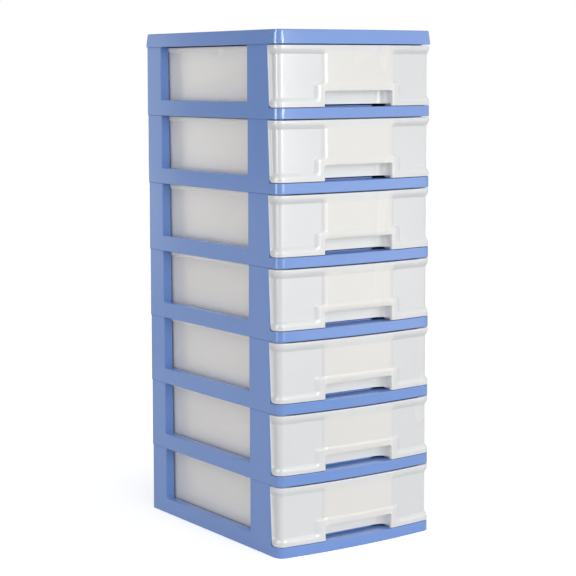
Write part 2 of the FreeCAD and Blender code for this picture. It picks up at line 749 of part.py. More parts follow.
def shape_returns(body, tower):
    """Lean the rear edges of the side returns, round their feet and hollow the front."""
    sizes = tower.sizes
    plan = tower.plan
    foot = tower.front_foot
    top = tower.front_top
    overrun = sizes["cut_overrun"]
    lean = new_sketch(body, "return_side", "side")
    polygon(lean, ((tower.return_foot, foot), (tower.return_head, top),
                   (tower.return_head + overrun, top), (tower.return_head + overrun, foot - overrun),
                   (tower.return_foot, foot - overrun)))
    add_through_cut(body, "return_lean", lean)
    dress_edges(
        body, "Fillet", "return_foot_round", sizes["return_radius"],
        lambda edge: lies_at(edge, foot) and is_across(edge, tower.return_foot))
    shell = new_sketch(body, "shell_plan", "plan", foot + sizes["drawer_wall"])
    plan.draw(shell, sizes["panel_recess"] + sizes["drawer_wall"], rear=tower.return_head + overrun)
    add_feature(body, "Pocket", "shell", shell, top - foot - sizes["drawer_wall"] * 2, reverse=True)


def add_tub(body, tower):
    """The tub behind the front, its out-turned lip and its cavity."""
    sizes = tower.sizes
    plan = tower.plan
    wall = sizes["drawer_wall"]
    skin = sizes["panel_recess"] + wall
    embed = sizes["panel_recess"] + wall / 2
    under = tower.tub_under
    top = tower.front_top
    outer = new_sketch(body, "tub_plan", "plan", under)
    plan.draw_tub(outer, embed, tower.tub_half, tower.tub_rear, sizes["tub_radius"])
    add_feature(body, "Pad", "tub", outer, top - under, taper=(sizes["tub_draft"], top - under, ""))
    dress_edges(
        body, "Fillet", "tub_floor_round", sizes["tub_floor_radius"],
        lambda edge: lies_at(edge, under) and follows(edge, outer, wall / 4))
    reach = sizes["tub_draft"] + sizes["side_lip_reach"]
    lip = new_sketch(body, "lip_plan", "plan", top - sizes["side_lip_height"])
    plan.draw_tub(lip, embed, tower.tub_half + reach, tower.tub_rear + reach,
                  sizes["tub_radius"] + reach)
    add_feature(body, "Pad", "side_lip", lip, sizes["side_lip_height"])
    floor = under + wall
    cavity = new_sketch(body, "cavity_plan", "plan", floor)
    plan.draw_tub(cavity, skin, tower.tub_half - wall, tower.tub_rear - wall,
                  sizes["tub_radius"] - wall)
    add_feature(body, "Pocket", "cavity", cavity, top - floor, reverse=True,
                taper=(sizes["tub_draft"], top - floor, ""))
    rim_low = top - sizes["rim_height"]
    groove = new_sketch(body, "rim_groove_plan", "plan", rim_low)
    plan.draw_slice(groove, wall, tower.tub_half - wall, tower.tub_half - wall,
                    plan.front_corner + skin)
    add_feature(body, "Pocket", "rim_groove", groove, top - rim_low, reverse=True)


def add_pull(body, tower):
    """The finger pocket inside the front and the opening that leads into it."""
    sizes = tower.sizes
    plan = tower.plan
    wall = sizes["drawer_wall"]
    overrun = sizes["cut_overrun"]
    half = sizes["pull_width"] / 2
    foot = tower.front_foot
    opening_top = foot + sizes["pull_height"]
    ceiling = opening_top + sizes["hood_border"] - wall
    rear = plan.front + sizes["pull_depth"]
    housing = new_sketch(body, "pull_housing_plan", "plan", tower.tub_under)
    plan.draw_tub(housing, sizes["panel_recess"] + wall / 2, half + wall, rear + wall,
                  sizes["pull_end_radius"] + wall)
    add_feature(body, "Pad", "pull_housing", housing, ceiling + wall - tower.tub_under)
    pocket = new_sketch(body, "pull_pocket_plan", "plan", foot - overrun)
    plan.draw_tub(pocket, sizes["pull_lip"], half, rear, sizes["pull_end_radius"])
    add_feature(body, "Pocket", "pull_pocket", pocket, ceiling - foot + overrun, reverse=True)
    notch_depth = sizes["pull_depth"] / 2
    notch = new_sketch(body, "pull_opening_face", "front", -(plan.front + notch_depth))
    rounded_outline(notch, ((-half, foot - overrun), (half, foot - overrun),
                            (half, opening_top), (-half, opening_top)),
                    (None, None, sizes["pull_corner_radius"], sizes["pull_corner_radius"]))
    add_feature(body, "Pocket", "pull_opening", notch, notch_depth + overrun, reverse=True)


def add_drawer_underside(body, tower):
    """The two runners that carry the drawer and the hook that meets the stop ridge."""
    sizes = tower.sizes
    runner_inner = tower.runner_outer - sizes["runner_width"]
    runners = new_sketch(body, "runner_plan", "plan", tower.shelf_top + sizes["fit_clearance"])
    mirrored(runners, rectangle, runner_inner, tower.runner_outer,
             tower.return_head, tower.tub_rear - sizes["runner_end_gap"])
    add_feature(body, "Pad", "runners", runners, sizes["runner_height"])
    hook_rear = tower.tub_rear - sizes["hook_setback"]
    hook = new_sketch(body, "hook_plan", "plan", tower.tub_under - sizes["hook_height"])
    rectangle(hook, -tower.ridge_half, tower.ridge_half, hook_rear - sizes["hook_thickness"], hook_rear)
    add_feature(body, "Pad", "stop_hook", hook, sizes["hook_height"])


# Assembly

def stack(doc, first, name, tier):
    """Repeat a tier's piece one or more tiers further up."""
    body = doc.addObject("PartDesign::Body", name)
    copy = body.newObject("PartDesign::FeatureBase", f"{name}_base")
    copy.BaseFeature = first
    body.Tip = copy
    body.setExpression("Placement.Base.z", f"{SHEET}.tier_pitch * {tier}")
    return body


def check_document(doc, bodies):
    """Stop on a failed object or an invalid solid."""
    for item in doc.Objects:
        if "Invalid" in item.State or "Error" in item.State:
            raise RuntimeError(f"{item.Name} failed: {item.State}")
    for body in bodies:
        shape = body.Shape
        if shape.isNull() or not shape.isValid() or len(shape.Solids) != 1:
            raise RuntimeError(f"{body.Label} is not one valid solid")


def main():
    """Build the tower and write one file for each piece."""
    doc = FreeCAD.newDocument("drawer_tower")
    sizes = make_sheet(doc)
    tower = Tower(sizes)
    frame = make_frame(doc, tower, "tier_frame_1")
    drawer = make_drawer(doc, tower, "drawer_1")
    bodies = [frame, drawer]
    for tier in range(1, TIER_COUNT):
        bodies.append(stack(doc, frame, f"tier_frame_{tier + 1}", tier))
        bodies.append(stack(doc, drawer, f"drawer_{tier + 1}", tier))
    lid = make_lid(doc, tower, "top_lid")
    lid.setExpression("Placement.Base.z", f"{SHEET}.tier_pitch * {TIER_COUNT}")
    bodies.append(lid)
    doc.recompute()
    check_document(doc, bodies)
    os.makedirs("parts", exist_ok=True)
    for body in bodies:
        body.Shape.exportStep(f"parts/{body.Label}.step")
        print(f"{body.Label}: {body.Shape.Volume:.0f} mm3")


main()
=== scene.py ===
"""Dresses the plastic drawer tower: seven blue frames, seven white drawers and a lid.

Sizes are written in millimetres and turned into metres when a mesh is made.
"""
import logging
import math
from dataclasses import dataclass, field
from enum import Enum
from typing import Callable, Sequence

import bmesh
import bpy
from mathutils import Matrix, Vector


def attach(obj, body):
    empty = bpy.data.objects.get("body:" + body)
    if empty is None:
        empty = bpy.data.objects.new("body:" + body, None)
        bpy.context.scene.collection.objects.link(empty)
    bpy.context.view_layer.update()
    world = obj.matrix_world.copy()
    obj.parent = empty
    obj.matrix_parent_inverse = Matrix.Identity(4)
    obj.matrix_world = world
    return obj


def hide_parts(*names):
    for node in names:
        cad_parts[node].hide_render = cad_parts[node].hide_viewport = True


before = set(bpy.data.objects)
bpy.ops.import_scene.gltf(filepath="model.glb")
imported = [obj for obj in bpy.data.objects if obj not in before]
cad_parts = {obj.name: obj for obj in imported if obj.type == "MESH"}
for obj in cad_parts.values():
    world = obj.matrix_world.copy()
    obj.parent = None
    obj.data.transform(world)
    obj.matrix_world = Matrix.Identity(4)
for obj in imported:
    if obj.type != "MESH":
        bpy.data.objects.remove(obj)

Point = tuple[float, float, float]
Flat = tuple[float, float]
Colour = tuple[float, float, float, float]

LOG = logging.getLogger("drawer_tower")
METRES = 0.001
TIER_COUNT = 7
TIER_PITCH = 95.0
WALL = 2.2

# Where the drawer's skin is divided, as runs from the middle of the front.
OPENING_RUNS = (0.0, 8.0, 16.0, 24.0, 32.0, 38.0, 43.0, 47.0, 50.0, 51.6, 52.6, 53.4, 54.0, 54.8)
SLOPE_RUNS = (56.8, 57.6, 58.2, 58.6, 59.4, 60.2, 61.0, 61.6, 62.6, 63.6, 64.8, 66.0, 67.4, 68.8,
              70.0, 71.0)
PANEL_RUNS = (75.0, 81.0, 88.0, 95.0, 101.0, 104.8, 106.8, 109.0, 111.0, 113.4)
CORNER_STEPS = 14
# Shares of the straight side at which the return is divided, closest at its flared edge.
RETURN_SHARES = (0.25, 0.45, 0.6, 0.7, 0.78, 0.86, 0.93, 1.0)
# Where the skin is divided in height: from its foot up, and then in heights of the tier.
FOOT_RISES = (0.0, 0.12, 0.45, 1.0, 1.8, 2.8)
BAND_STEPS = 10
BAND_START = 20.0
HOOD_ROWS = (27.1, 28.6, 30.4, 31.8, 33.2, 34.6, 36.0, 37.5, 39.5, 41.0, 42.0, 42.7, 42.9, 43.4,
             44.2, 45.0, 46.0, 46.6)
PANEL_ROWS = (49.0, 53.0, 58.0, 64.0, 70.0, 76.0, 80.0, 81.7)
RIM_STEPS = 12
TOP_ROWS = (91.4, 92.0)
# Profiles as pairs of rise and growth: the tub's lip from below, its outer edge, the mouth of the
# cavity, and the heights of the foot plate's rounded rear.
LIP_UNDER = ((-0.9, 0.0), (-0.5, 0.1), (-0.2, 0.35), (0.0, 0.9))
LIP_EDGE = ((0.15, -0.3), (0.5, 0.0))
CAVITY_MOUTH = ((-0.6, 0.0), (-0.3, 0.1), (-0.08, 0.3), (0.6, 1.1))
PLATE_RISES = (0.0, 0.1, 0.4, 0.9, 1.5, WALL)


class Side(Enum):
    """The two mirrored sides of the tower."""

    LEFT = -1
    RIGHT = 1


class Join(Enum):
    """How one solid is put together with another."""

    ADD = "UNION"
    CUT = "DIFFERENCE"


class Slot(Enum):
    """The two plastics that the record names."""

    FRAME = "frame_plastic"
    DRAWER = "drawer_plastic"


def quarter_turn(steps: int) -> list[Flat]:
    """Sine and versine of equal steps through a right angle.

    Args:
        steps: number of steps.

    Returns:
        One (sine, 1 - cosine) pair for each of the steps + 1 angles.
    """
    angles = [math.pi / 2 * step / steps for step in range(steps + 1)]
    return [(math.sin(angle), 1 - math.cos(angle)) for angle in angles]


def clamp(value: float) -> float:
    """The value held between 0 and 1."""
    return min(1.0, max(0.0, value))


def swell(share: float) -> float:
    """A rise from 0 to 1 that starts with a crease and ends level."""
    return math.sin(math.pi / 2 * clamp(share))


class Draft:
    """Vertices and faces of a closed surface, in millimetres."""

    def __init__(self) -> None:
        """Start with nothing drawn."""
        self.points: list[Point] = []
        self.faces: list[tuple[int, ...]] = []

    def ring(self, points: Sequence[Point]) -> list[int]:
        """Add a row of points.

        Args:
            points: the points in order.

        Returns:
            Their numbers.
        """
        first = len(self.points)
        self.points.extend(points)
        return list(range(first, len(self.points)))

    def bridge(self, lower: Sequence[int], upper: Sequence[int]) -> None:
        """Join two closed rings of equal length with four-sided faces.

        Args:
            lower: numbers of the first ring.
            upper: numbers of the second ring.
        """
        count = len(lower)
        for index in range(count):
            after = (index + 1) % count
            self.faces.append((lower[index], lower[after], upper[after], upper[index]))

    def loft(self, rings: Sequence[Sequence[Point]]) -> None:
        """A closed form through a stack of rings, capped at both ends.

        Args:
            rings: rings of equal length from the lowest to the highest.
        """
        numbers = [self.ring(ring) for ring in rings]
        for lower, upper in zip(numbers, numbers[1:]):
            self.bridge(lower, upper)
        self.faces.append(tuple(reversed(numbers[0])))
        self.faces.append(tuple(numbers[-1]))

    def solid(self, name: str) -> bpy.types.Object:
        """Turn the draft into an object.

        Args:
            name: the object's name.

        Returns:
            The new object, with its faces turned outward.
        """
        mesh = bpy.data.meshes.new(name)
        scaled = [tuple(value * METRES for value in point) for point in self.points]
        mesh.from_pydata(scaled, [], self.faces)
        work = bmesh.new()
        work.from_mesh(mesh)
        bmesh.ops.recalc_face_normals(work, faces=work.faces)
        work.to_mesh(mesh)
        work.free()
        piece = bpy.data.objects.new(name, mesh)
        bpy.context.scene.collection.objects.link(piece)
        return piece


def join(base: bpy.types.Object, tool: bpy.types.Object, how: Join) -> None:
    """Add a solid to another or cut it away, and drop the tool.

    Args:
        base: the object that keeps the result.
        tool: the object that is used up.
        how: whether the tool is added or cut away.
    """
    modifier = base.modifiers.new("join", "BOOLEAN")
    modifier.operation = how.value
    modifier.solver = "MANIFOLD"
    modifier.object = tool
    graph = bpy.context.evaluated_depsgraph_get()
    result = bpy.data.meshes.new_from_object(base.evaluated_get(graph))
    base.modifiers.clear()
    spent = base.data
    base.data = result
    bpy.data.meshes.remove(spent)
    bpy.data.objects.remove(tool)


@dataclass(frozen=True)
class BowedOutline:
    """The bowed plan that rails, drawer fronts and lid share.

    A place on it is given by its run, the distance along the outline from the middle of the
    front, positive to the right, and by its inset, the distance inwards from the outline.
    """

    half_width: float = 126.0
    front: float = -168.0
    front_corner: float = -160.0
    corner_radius: float = 12.0

    @property
    def bow_radius(self) -> float:
        """Radius of the bowed front."""
        depth = self.front_corner - self.front
        return (self.half_width ** 2 + depth ** 2) / (2 * depth)

    @property
    def bow_centre(self) -> float:
        """Y of the bow's centre."""
        return self.front + self.bow_radius

    @property
    def corner_across(self) -> float:
        """X of the corner arc's centre."""
        return self.half_width - self.corner_radius

    @property
    def corner_deep(self) -> float:
        """Y of the corner arc's centre."""
        reach = self.bow_radius - self.corner_radius
        return self.bow_centre - math.sqrt(reach ** 2 - self.corner_across ** 2)

    @property
    def bow_turn(self) -> float:
        """Angle at the bow's centre from the middle to the corner arc."""
        return math.asin(self.corner_across / (self.bow_radius - self.corner_radius))

    @property
    def bow_run(self) -> float:
        """Run at which the bow meets the corner arc."""
        return self.bow_radius * self.bow_turn

    @property
    def corner_run(self) -> float:
        """Run at which the corner arc meets the straight side."""
        return self.bow_run + self.corner_radius * (math.pi / 2 - self.bow_turn)

    def place(self, run: float, inset: float) -> Flat:
        """The plan point at a run and an inset.

        Args:
            run: distance along the outline, negative on the left.
            inset: distance inwards.

        Returns:
            Its x and y.
        """
        hand = -1.0 if run < 0 else 1.0
        length = abs(run)
        if length <= self.bow_run:
            angle = length / self.bow_radius
            reach = self.bow_radius - inset
            return hand * reach * math.sin(angle), self.bow_centre - reach * math.cos(angle)
        if length <= self.corner_run:
            angle = self.bow_turn + (length - self.bow_run) / self.corner_radius
            reach = self.corner_radius - inset
            return (hand * (self.corner_across + reach * math.sin(angle)),
                    self.corner_deep - reach * math.cos(angle))
        return hand * (self.half_width - inset), self.corner_deep + length - self.corner_run

    def across(self, x: float, inset: float) -> float:
        """Y of the bow at an x and an inset."""
        reach = self.bow_radius - inset
        return self.bow_centre - math.sqrt(reach ** 2 - x ** 2)


@dataclass(frozen=True)
class Step:
    """One row of a profile that goes round a plan: a height and how far the plan grows."""

    height: float
    grow: float


@dataclass
class DrawerFront:
    """The bowed skin of a drawer: rim, foot band, centre panel, hood and flared returns."""

    outline: BowedOutline = field(default_factory=BowedOutline)
    foot: float = 14.8
    top: float = 93.6
    recess: float = 3.5
    centre_recess: float = 0.6
    centre_outer: float = 58.6
    centre_slope: float = 9.0
    rim_low: float = 82.3
    rim_slope: float = 8.0
    band_high: float = 26.5
    band_slope: float = 6.5
    hood_half: float = 61.0
    hood_high: float = 42.0
    hood_side_slope: float = 9.0
    hood_top_slope: float = 4.0
    hood_dip: float = 0.8
    dip_width: float = 6.0
    return_foot: float = -143.3
    return_head: float = -139.3
    return_radius: float = 5.0
    flare: float = 3.5
    opening_half: float = 55.0
    opening_top: float = 35.0
    opening_radius: float = 3.5
    arc_reach: int = 6
    pocket_wall: float = 3.2
    pocket_top: float = 42.8
    edge_round: float = 1.0
    edge_steps: int = 5
    inner_round: float = 0.6
    inner_steps: int = 4
    tub_half: float = 109.4
    tub_margin: float = 1.0
    rim_end: float = 2.0
    even_width: float = 5.0

    def rear_run(self, height: float) -> float:
        """Run of the skin's last column at a height, short of the edge by its rounding.

        Args:
            height: height in the tier.

        Returns:
            The run of the leaning rear edge, with the foot's corner rounded.
        """
        share = (height - self.foot) / (self.top - self.foot)
        deep = self.return_foot + share * (self.return_head - self.return_foot)
        run = self.outline.corner_run + deep - self.outline.corner_deep - self.edge_round
        radius = self.return_radius - self.edge_round
        above = height - self.foot - self.edge_round
        if above < radius:
            run -= radius - math.sqrt(max(0.0, radius ** 2 - (radius - above) ** 2))
        return run

    def depth(self, run: float, height: float) -> float:
        """How far the outer face lies behind the outline.

        Args:
            run: place along the outline.
            height: height in the tier.

        Returns:
            The inset of the face there.
        """
        side = abs(run)
        slope = 1 - (1 - clamp((self.centre_outer - side) / self.centre_slope)) ** 2
        level = self.recess - (self.recess - self.centre_recess) * slope
        rim = swell((height - self.rim_low) / self.rim_slope)
        band = swell((self.band_high - height) / self.band_slope)
        sideways = max(0.0, (side - self.hood_half) / self.hood_side_slope)
        upwards = max(0.0, (height - self.hood_high) / self.hood_top_slope)
        hood = swell(1 - math.hypot(sideways, upwards))
        edge = clamp(1 - (self.rear_run(height) - side) / self.flare) ** 2
        dip = self.hood_dip * (1 - swell(self.beyond_opening(side, height) / self.dip_width))
        return level * (1 - rim) * (1 - band) * (1 - hood) * (1 - edge) + dip

    def beyond_opening(self, side: float, height: float) -> float:
        """Distance of a place on the face from the pull opening's edge.

        Args:
            side: run of the place, without its sign.
            height: height in the tier.

        Returns:
            The distance, negative inside the opening.
        """
        radius = self.opening_radius
        return math.hypot(max(0.0, side - self.opening_half + radius),
                          max(0.0, height - self.opening_top + radius)) - radius

    def inner_depth(self, run: float, height: float) -> float:
        """How far the inner face lies behind the outline.

        Args:
            run: place along the outline.
            height: height in the tier.

        Returns:
            The inset of the inner face there.
        """
        side = abs(run)
        if side < self.opening_half and height < self.pocket_top:
            return self.pocket_wall
        rim = swell((height - self.rim_low) / self.rim_slope)
        open_rim = clamp((self.tub_half - WALL - self.tub_margin - side) / self.rim_end)
        plain = WALL + self.recess * (1 - rim * open_rim)
        even = self.depth(run, height) + WALL
        share = clamp((side - self.tub_half - self.tub_margin) / self.even_width)
        return plain + (even - plain) * share

    def columns(self) -> list[float]:
        """Where the skin's columns stand, as far as the straight side.

        Returns:
            Their runs from the middle to the right.
        """
        start = self.outline.bow_run
        length = self.outline.corner_run - start
        corner = [start + length * step / CORNER_STEPS for step in range(CORNER_STEPS + 1)]
        edge = self.opening_half + self.edge_round
        return [*OPENING_RUNS, edge, *SLOPE_RUNS, *PANEL_RUNS, *corner]

    def rows(self) -> list[float]:
        """Where the skin's rows lie.

        Returns:
            Their heights from the foot up.
        """
        foot = [self.foot + self.edge_round + rise for rise in FOOT_RISES]
        height = self.band_high - BAND_START
        band = [BAND_START + height * step / BAND_STEPS for step in range(BAND_STEPS + 1)]
        rim = [self.rim_low + self.rim_slope * step / RIM_STEPS for step in range(RIM_STEPS + 1)]
        top = self.top - self.edge_round
        return [*foot, *band, *HOOD_ROWS, *PANEL_ROWS, *rim, *TOP_ROWS, top]

    def build(self) -> bpy.types.Object:
        """Build the skin as one closed solid, in the first tier's place.

        Returns:
            The skin's object.
        """
        columns = self.columns()
        rows = self.rows()
        base = self.outline.corner_run
        half: list[Callable[[float], float]] = [lambda z, run=run: run for run in columns]
        half += [lambda z, share=share: base + share * (self.rear_run(z) - base)
                 for share in RETURN_SHARES]
        last = len(half) - 1
        spots: dict[tuple[int, int], Flat] = {}
        for column in range(-last, last + 1):
            hand = -1 if column < 0 else 1
            for row, height in enumerate(rows):
                spots[column, row] = (hand * half[abs(column)](height), height)
        edge_column = columns.index(self.opening_half + self.edge_round)
        edge_row = rows.index(self.opening_top + self.edge_round)
        self.round_opening(spots, edge_column, edge_row)
        cells = [((column, row), (column + 1, row), (column + 1, row + 1), (column, row + 1))
                 for column in range(-last, last) for row in range(len(rows) - 1)
                 if row >= edge_row or not -edge_column <= column < edge_column]
        draft = Draft()
        outer: dict[tuple[int, int], int] = {}
        inner: dict[tuple[int, int], int] = {}
        for keys in cells:
            for key in keys:
                if key not in outer:
                    run, height = spots[key]
                    outer[key] = draft.ring([self.point(run, height, self.depth(run, height))])[0]
                    inside = self.inner_depth(run, height)
                    inner[key] = draft.ring([self.point(run, height, inside)])[0]
        for keys in cells:
            draft.faces.append(tuple(outer[key] for key in keys))
            draft.faces.append(tuple(inner[key] for key in reversed(keys)))
        border = self.border(last, len(rows) - 1, edge_column, edge_row)
        self.close(draft, border, spots, outer, inner)
        return draft.solid("drawer_skin")

    def round_opening(self, spots: dict[tuple[int, int], Flat], column: int, row: int) -> None:
        """Move the grid's spots at the opening's upper corners onto an arc.

        Args:
            spots: run and height of each grid spot, changed in place.
            column: column at the opening's side.
            row: row at the opening's top.
        """
        radius = self.opening_radius + self.edge_round
        side, top = spots[column, row]
        for hand in (-1, 1):
            for step in range(-self.arc_reach, self.arc_reach + 1):
                key = (hand * (column - step), row) if step > 0 else (hand * column, row + step)
                run, height = spots[key]
                away = (side - abs(run)) if step > 0 else (top - height)
                if away > radius:
                    continue
                turn = math.pi / 4 * (1 - away / radius)
                angle = math.pi / 2 - turn if step > 0 else turn
                spots[key] = (hand * (side - radius + radius * math.cos(angle)),
                              top - radius + radius * math.sin(angle))

    def border(self, last: int, high: int, column: int, row: int) -> list[tuple[int, int]]:
        """Grid keys of the skin's edge in order, anticlockwise seen from the front.

        Args:
            last: number of the last column.
            high: number of the top row.
            column: column at the opening's side.
            row: row at the opening's top.

        Returns:
            The keys, each once.
        """
        keys = [(step, 0) for step in range(-last, -column)]
        keys += [(-column, step) for step in range(row)]
        keys += [(step, row) for step in range(-column, column)]
        keys += [(column, step) for step in range(row, 0, -1)]
        keys += [(step, 0) for step in range(column, last)]
        keys += [(last, step) for step in range(high)]
        keys += [(step, high) for step in range(last, -last, -1)]
        keys += [(-last, step) for step in range(high, 0, -1)]
        return keys

    def close(self, draft: Draft, border: Sequence[tuple[int, int]],
              spots: dict[tuple[int, int], Flat], outer: dict[tuple[int, int], int],
              inner: dict[tuple[int, int], int]) -> None:
        """Close the skin's edge with a rounded strip between its two faces.

        Args:
            draft: the draft that gets the strip.
            border: grid keys of the edge in order.
            spots: run and height of each grid spot.
            outer: point numbers of the outer face.
            inner: point numbers of the inner face.
        """
        flat = [spots[key] for key in border]
        count = len(flat)
        outward = []
        for index, (run, height) in enumerate(flat):
            before = flat[index - 1]
            after = flat[(index + 1) % count]
            first = Vector((height - before[1], before[0] - run)).normalized()
            second = Vector((after[1] - height, run - after[0])).normalized()
            outward.append((first + second) / (1 + first.dot(second)))
        profile = [(self.edge_round * sine, self.edge_round * rise, True)
                   for sine, rise in quarter_turn(self.edge_steps)[1:]]
        start = self.edge_round - self.inner_round
        profile += [(start + self.inner_round * (1 - rise), self.inner_round * (1 - sine), False)
                    for sine, rise in quarter_turn(self.inner_steps)]
        rings = [[outer[key] for key in border]]
        for away, deep, from_outer in profile:
            points = []
            for (run, height), direction in zip(flat, outward):
                if from_outer:
                    inset = self.depth(run, height) + deep
                else:
                    inset = self.inner_depth(run, height) - deep
                points.append(self.point(run + direction.x * away, height + direction.y * away,
                                         inset))
            rings.append(draft.ring(points))
        rings.append([inner[key] for key in border])
        for lower, upper in zip(rings, rings[1:]):
            draft.bridge(lower, upper)

    def point(self, run: float, height: float, inset: float) -> Point:
        """The point at a run, a height and an inset."""
        x, y = self.outline.place(run, inset)
        return x, y, height


@dataclass
class Tub:
    """The open box behind a drawer front, with its finger pocket, plates and runners."""

    front: DrawerFront
    half: float = 109.4
    rear: float = 156.0
    under: float = 17.8
    radius: float = 11.0
    floor_radius: float = 3.0
    draft: float = 0.5
    lip_reach: float = 1.5
    lip_height: float = 5.5
    lip_round: float = 0.8
    thinner_round: float = 0.6
    buried: float = 4.0
    cavity_ahead: float = 1.2
    overlap: float = 1.0
    tuck: float = 0.4
    pocket_half: float = 55.0
    pocket_rear: float = -146.0
    pocket_radius: float = 14.0
    pocket_round: float = 1.5
    pocket_ahead: float = 20.0
    housing_round: float = 1.2
    housing_ahead: float = 0.6
    flange_back: float = 0.9
    runner_outer: float = 101.4
    runner_width: float = 2.5
    runner_low: float = 14.5
    runner_rear: float = 144.0
    hook_half: float = 40.0
    hook_rear: float = 99.5
    hook_low: float = 15.4
    bow_steps: int = 12
    corner_steps: int = 8
    floor_steps: int = 6
    round_steps: int = 4
    plate_steps: int = 24
    flange_steps: int = 16

    def ring(self, half: float, rear: float, radius: float, inset: float,
             height: float) -> list[Point]:
        """A closed plan with a bowed front and two rounded rear corners.

        Args:
            half: half its width.
            rear: y of its rear.
            radius: radius of the rear corners.
            inset: how far its front lies behind the tower's outline.
            height: its height.

        Returns:
            The ring's points.
        """
        outline = self.front.outline
        points = []
        for step in range(self.bow_steps + 1):
            x = -half + 2 * half * step / self.bow_steps
            points.append((x, outline.across(x, inset), height))
        last = self.corner_steps
        for hand in (1, -1):
            for step in range(last + 1):
                angle = math.pi / 2 * (step if hand > 0 else last - step) / last
                points.append((hand * (half - radius + radius * math.cos(angle)),
                               rear - radius + radius * math.sin(angle), height))
        return points

    def profiled(self, name: str, steps: Sequence[Step], half: float, rear: float, radius: float,
                 inset: float) -> bpy.types.Object:
        """A solid whose plan grows and shrinks with height.

        Args:
            name: the solid's name.
            steps: its profile from the bottom up.
            half: half its width at no growth.
            rear: y of its rear at no growth.
            radius: radius of its rear corners at no growth.
            inset: how far its front lies behind the tower's outline.

        Returns:
            The solid.
        """
        draft = Draft()
        draft.loft([self.ring(half + step.grow, rear + step.grow, radius + step.grow, inset,
                              step.height) for step in steps])
        return draft.solid(name)

    def outer_steps(self) -> list[Step]:
        """Profile of the tub's outside, with its rounded floor and its out-turned lip.

        Returns:
            The profile from the bottom up.
        """
        top = self.front.top
        lean = self.draft
        lip = top - self.lip_height
        reach = lean + self.lip_reach
        steps = [Step(self.under + self.floor_radius * rise, self.floor_radius * (sine - 1))
                 for sine, rise in quarter_turn(self.floor_steps)]
        steps += [Step(lip + rise, lean + growth) for rise, growth in LIP_UNDER]
        steps += [Step(lip + rise, reach + growth) for rise, growth in LIP_EDGE]
        steps += [Step(top - self.lip_round * (1 - sine), reach - self.lip_round * rise)
                  for sine, rise in quarter_turn(self.round_steps)]
        return steps

    def cavity_steps(self) -> list[Step]:
        """Profile of the tub's inside.

        Returns:
            The profile from the floor up and past the top.
        """
        top = self.front.top
        floor = self.under + WALL
        radius = self.floor_radius - self.thinner_round
        steps = [Step(floor + radius * rise, radius * (sine - 1) - WALL)
                 for sine, rise in quarter_turn(self.floor_steps)]
        upper = self.draft - WALL
        return steps + [Step(top + rise, upper + growth) for rise, growth in CAVITY_MOUTH]

    def domed(self, low: float, top: float, radius: float, grow: float) -> list[Step]:
        """Profile of an upright form with a rounded top edge.

        Args:
            low: height of its bottom.
            top: height of its top.
            radius: radius of the edge.
            grow: how far its plan grows below the edge.

        Returns:
            The profile from the bottom up.
        """
        return [Step(low, grow), Step(top - radius, grow)] + [
            Step(top - radius * (1 - sine), grow - radius * rise)
            for sine, rise in quarter_turn(self.round_steps)[1:]]

    def block(self, name: str, low: Point, high: Point, chamfer: float = 0.4) -> bpy.types.Object:
        """A block with chamfered lower edges.

        Args:
            name: the block's name.
            low: its lowest corner.
            high: its highest corner.
            chamfer: width of the chamfers.

        Returns:
            The block.
        """
        rings = []
        for height, cut in ((low[2], chamfer), (low[2] + chamfer, 0.0), (high[2], 0.0)):
            left, right = low[0] + cut, high[0] - cut
            ahead, behind = low[1] + cut, high[1] - cut
            rings.append([(left, ahead, height), (right, ahead, height), (right, behind, height),
                          (left, behind, height)])
        draft = Draft()
        draft.loft(rings)
        return draft.solid(name)

    def foot_plate(self) -> bpy.types.Object:
        """The plate under the front, rounded up at its rear like the returns' feet.

        Returns:
            The plate, open where the finger pocket is.
        """
        front = self.front
        outline = front.outline
        inset = front.edge_round + self.tuck
        rings = []
        for height in PLATE_RISES:
            radius = front.return_radius
            back = radius - math.sqrt(radius ** 2 - (radius - height) ** 2)
            deep = front.return_foot - back
            run = outline.corner_run + deep - outline.corner_deep
            ring = []
            for step in range(-self.plate_steps, self.plate_steps + 1):
                place = run * step / self.plate_steps
                ring.append(front.point(place, front.foot + height, inset))
            rings.append(ring)
        draft = Draft()
        draft.loft(rings)
        plate = draft.solid("foot_plate")
        half = self.pocket_half + WALL
        join(plate, self.block("clearing", (-half, outline.front, 0.0),
                               (half, front.return_head, self.under)), Join.CUT)
        return plate

    def top_flange(self, side: Side) -> bpy.types.Object:
        """The flange that joins the tub's lip to a return at the top.

        Args:
            side: which side of the drawer.

        Returns:
            The flange.
        """
        front = self.front
        outline = front.outline
        inset = front.edge_round + self.tuck
        rear = front.return_head - self.flange_back
        end = outline.corner_run + rear - outline.corner_deep
        start = self.half - self.overlap
        plan = [outline.place(start + (end - start) * step / self.flange_steps, inset)
                for step in range(self.flange_steps + 1)]
        plan.append((start, rear))
        rings = [[(side.value * x, y, height) for x, y in plan]
                 for height in (front.top - WALL, front.top)]
        draft = Draft()
        draft.loft(rings)
        return draft.solid("top_flange")

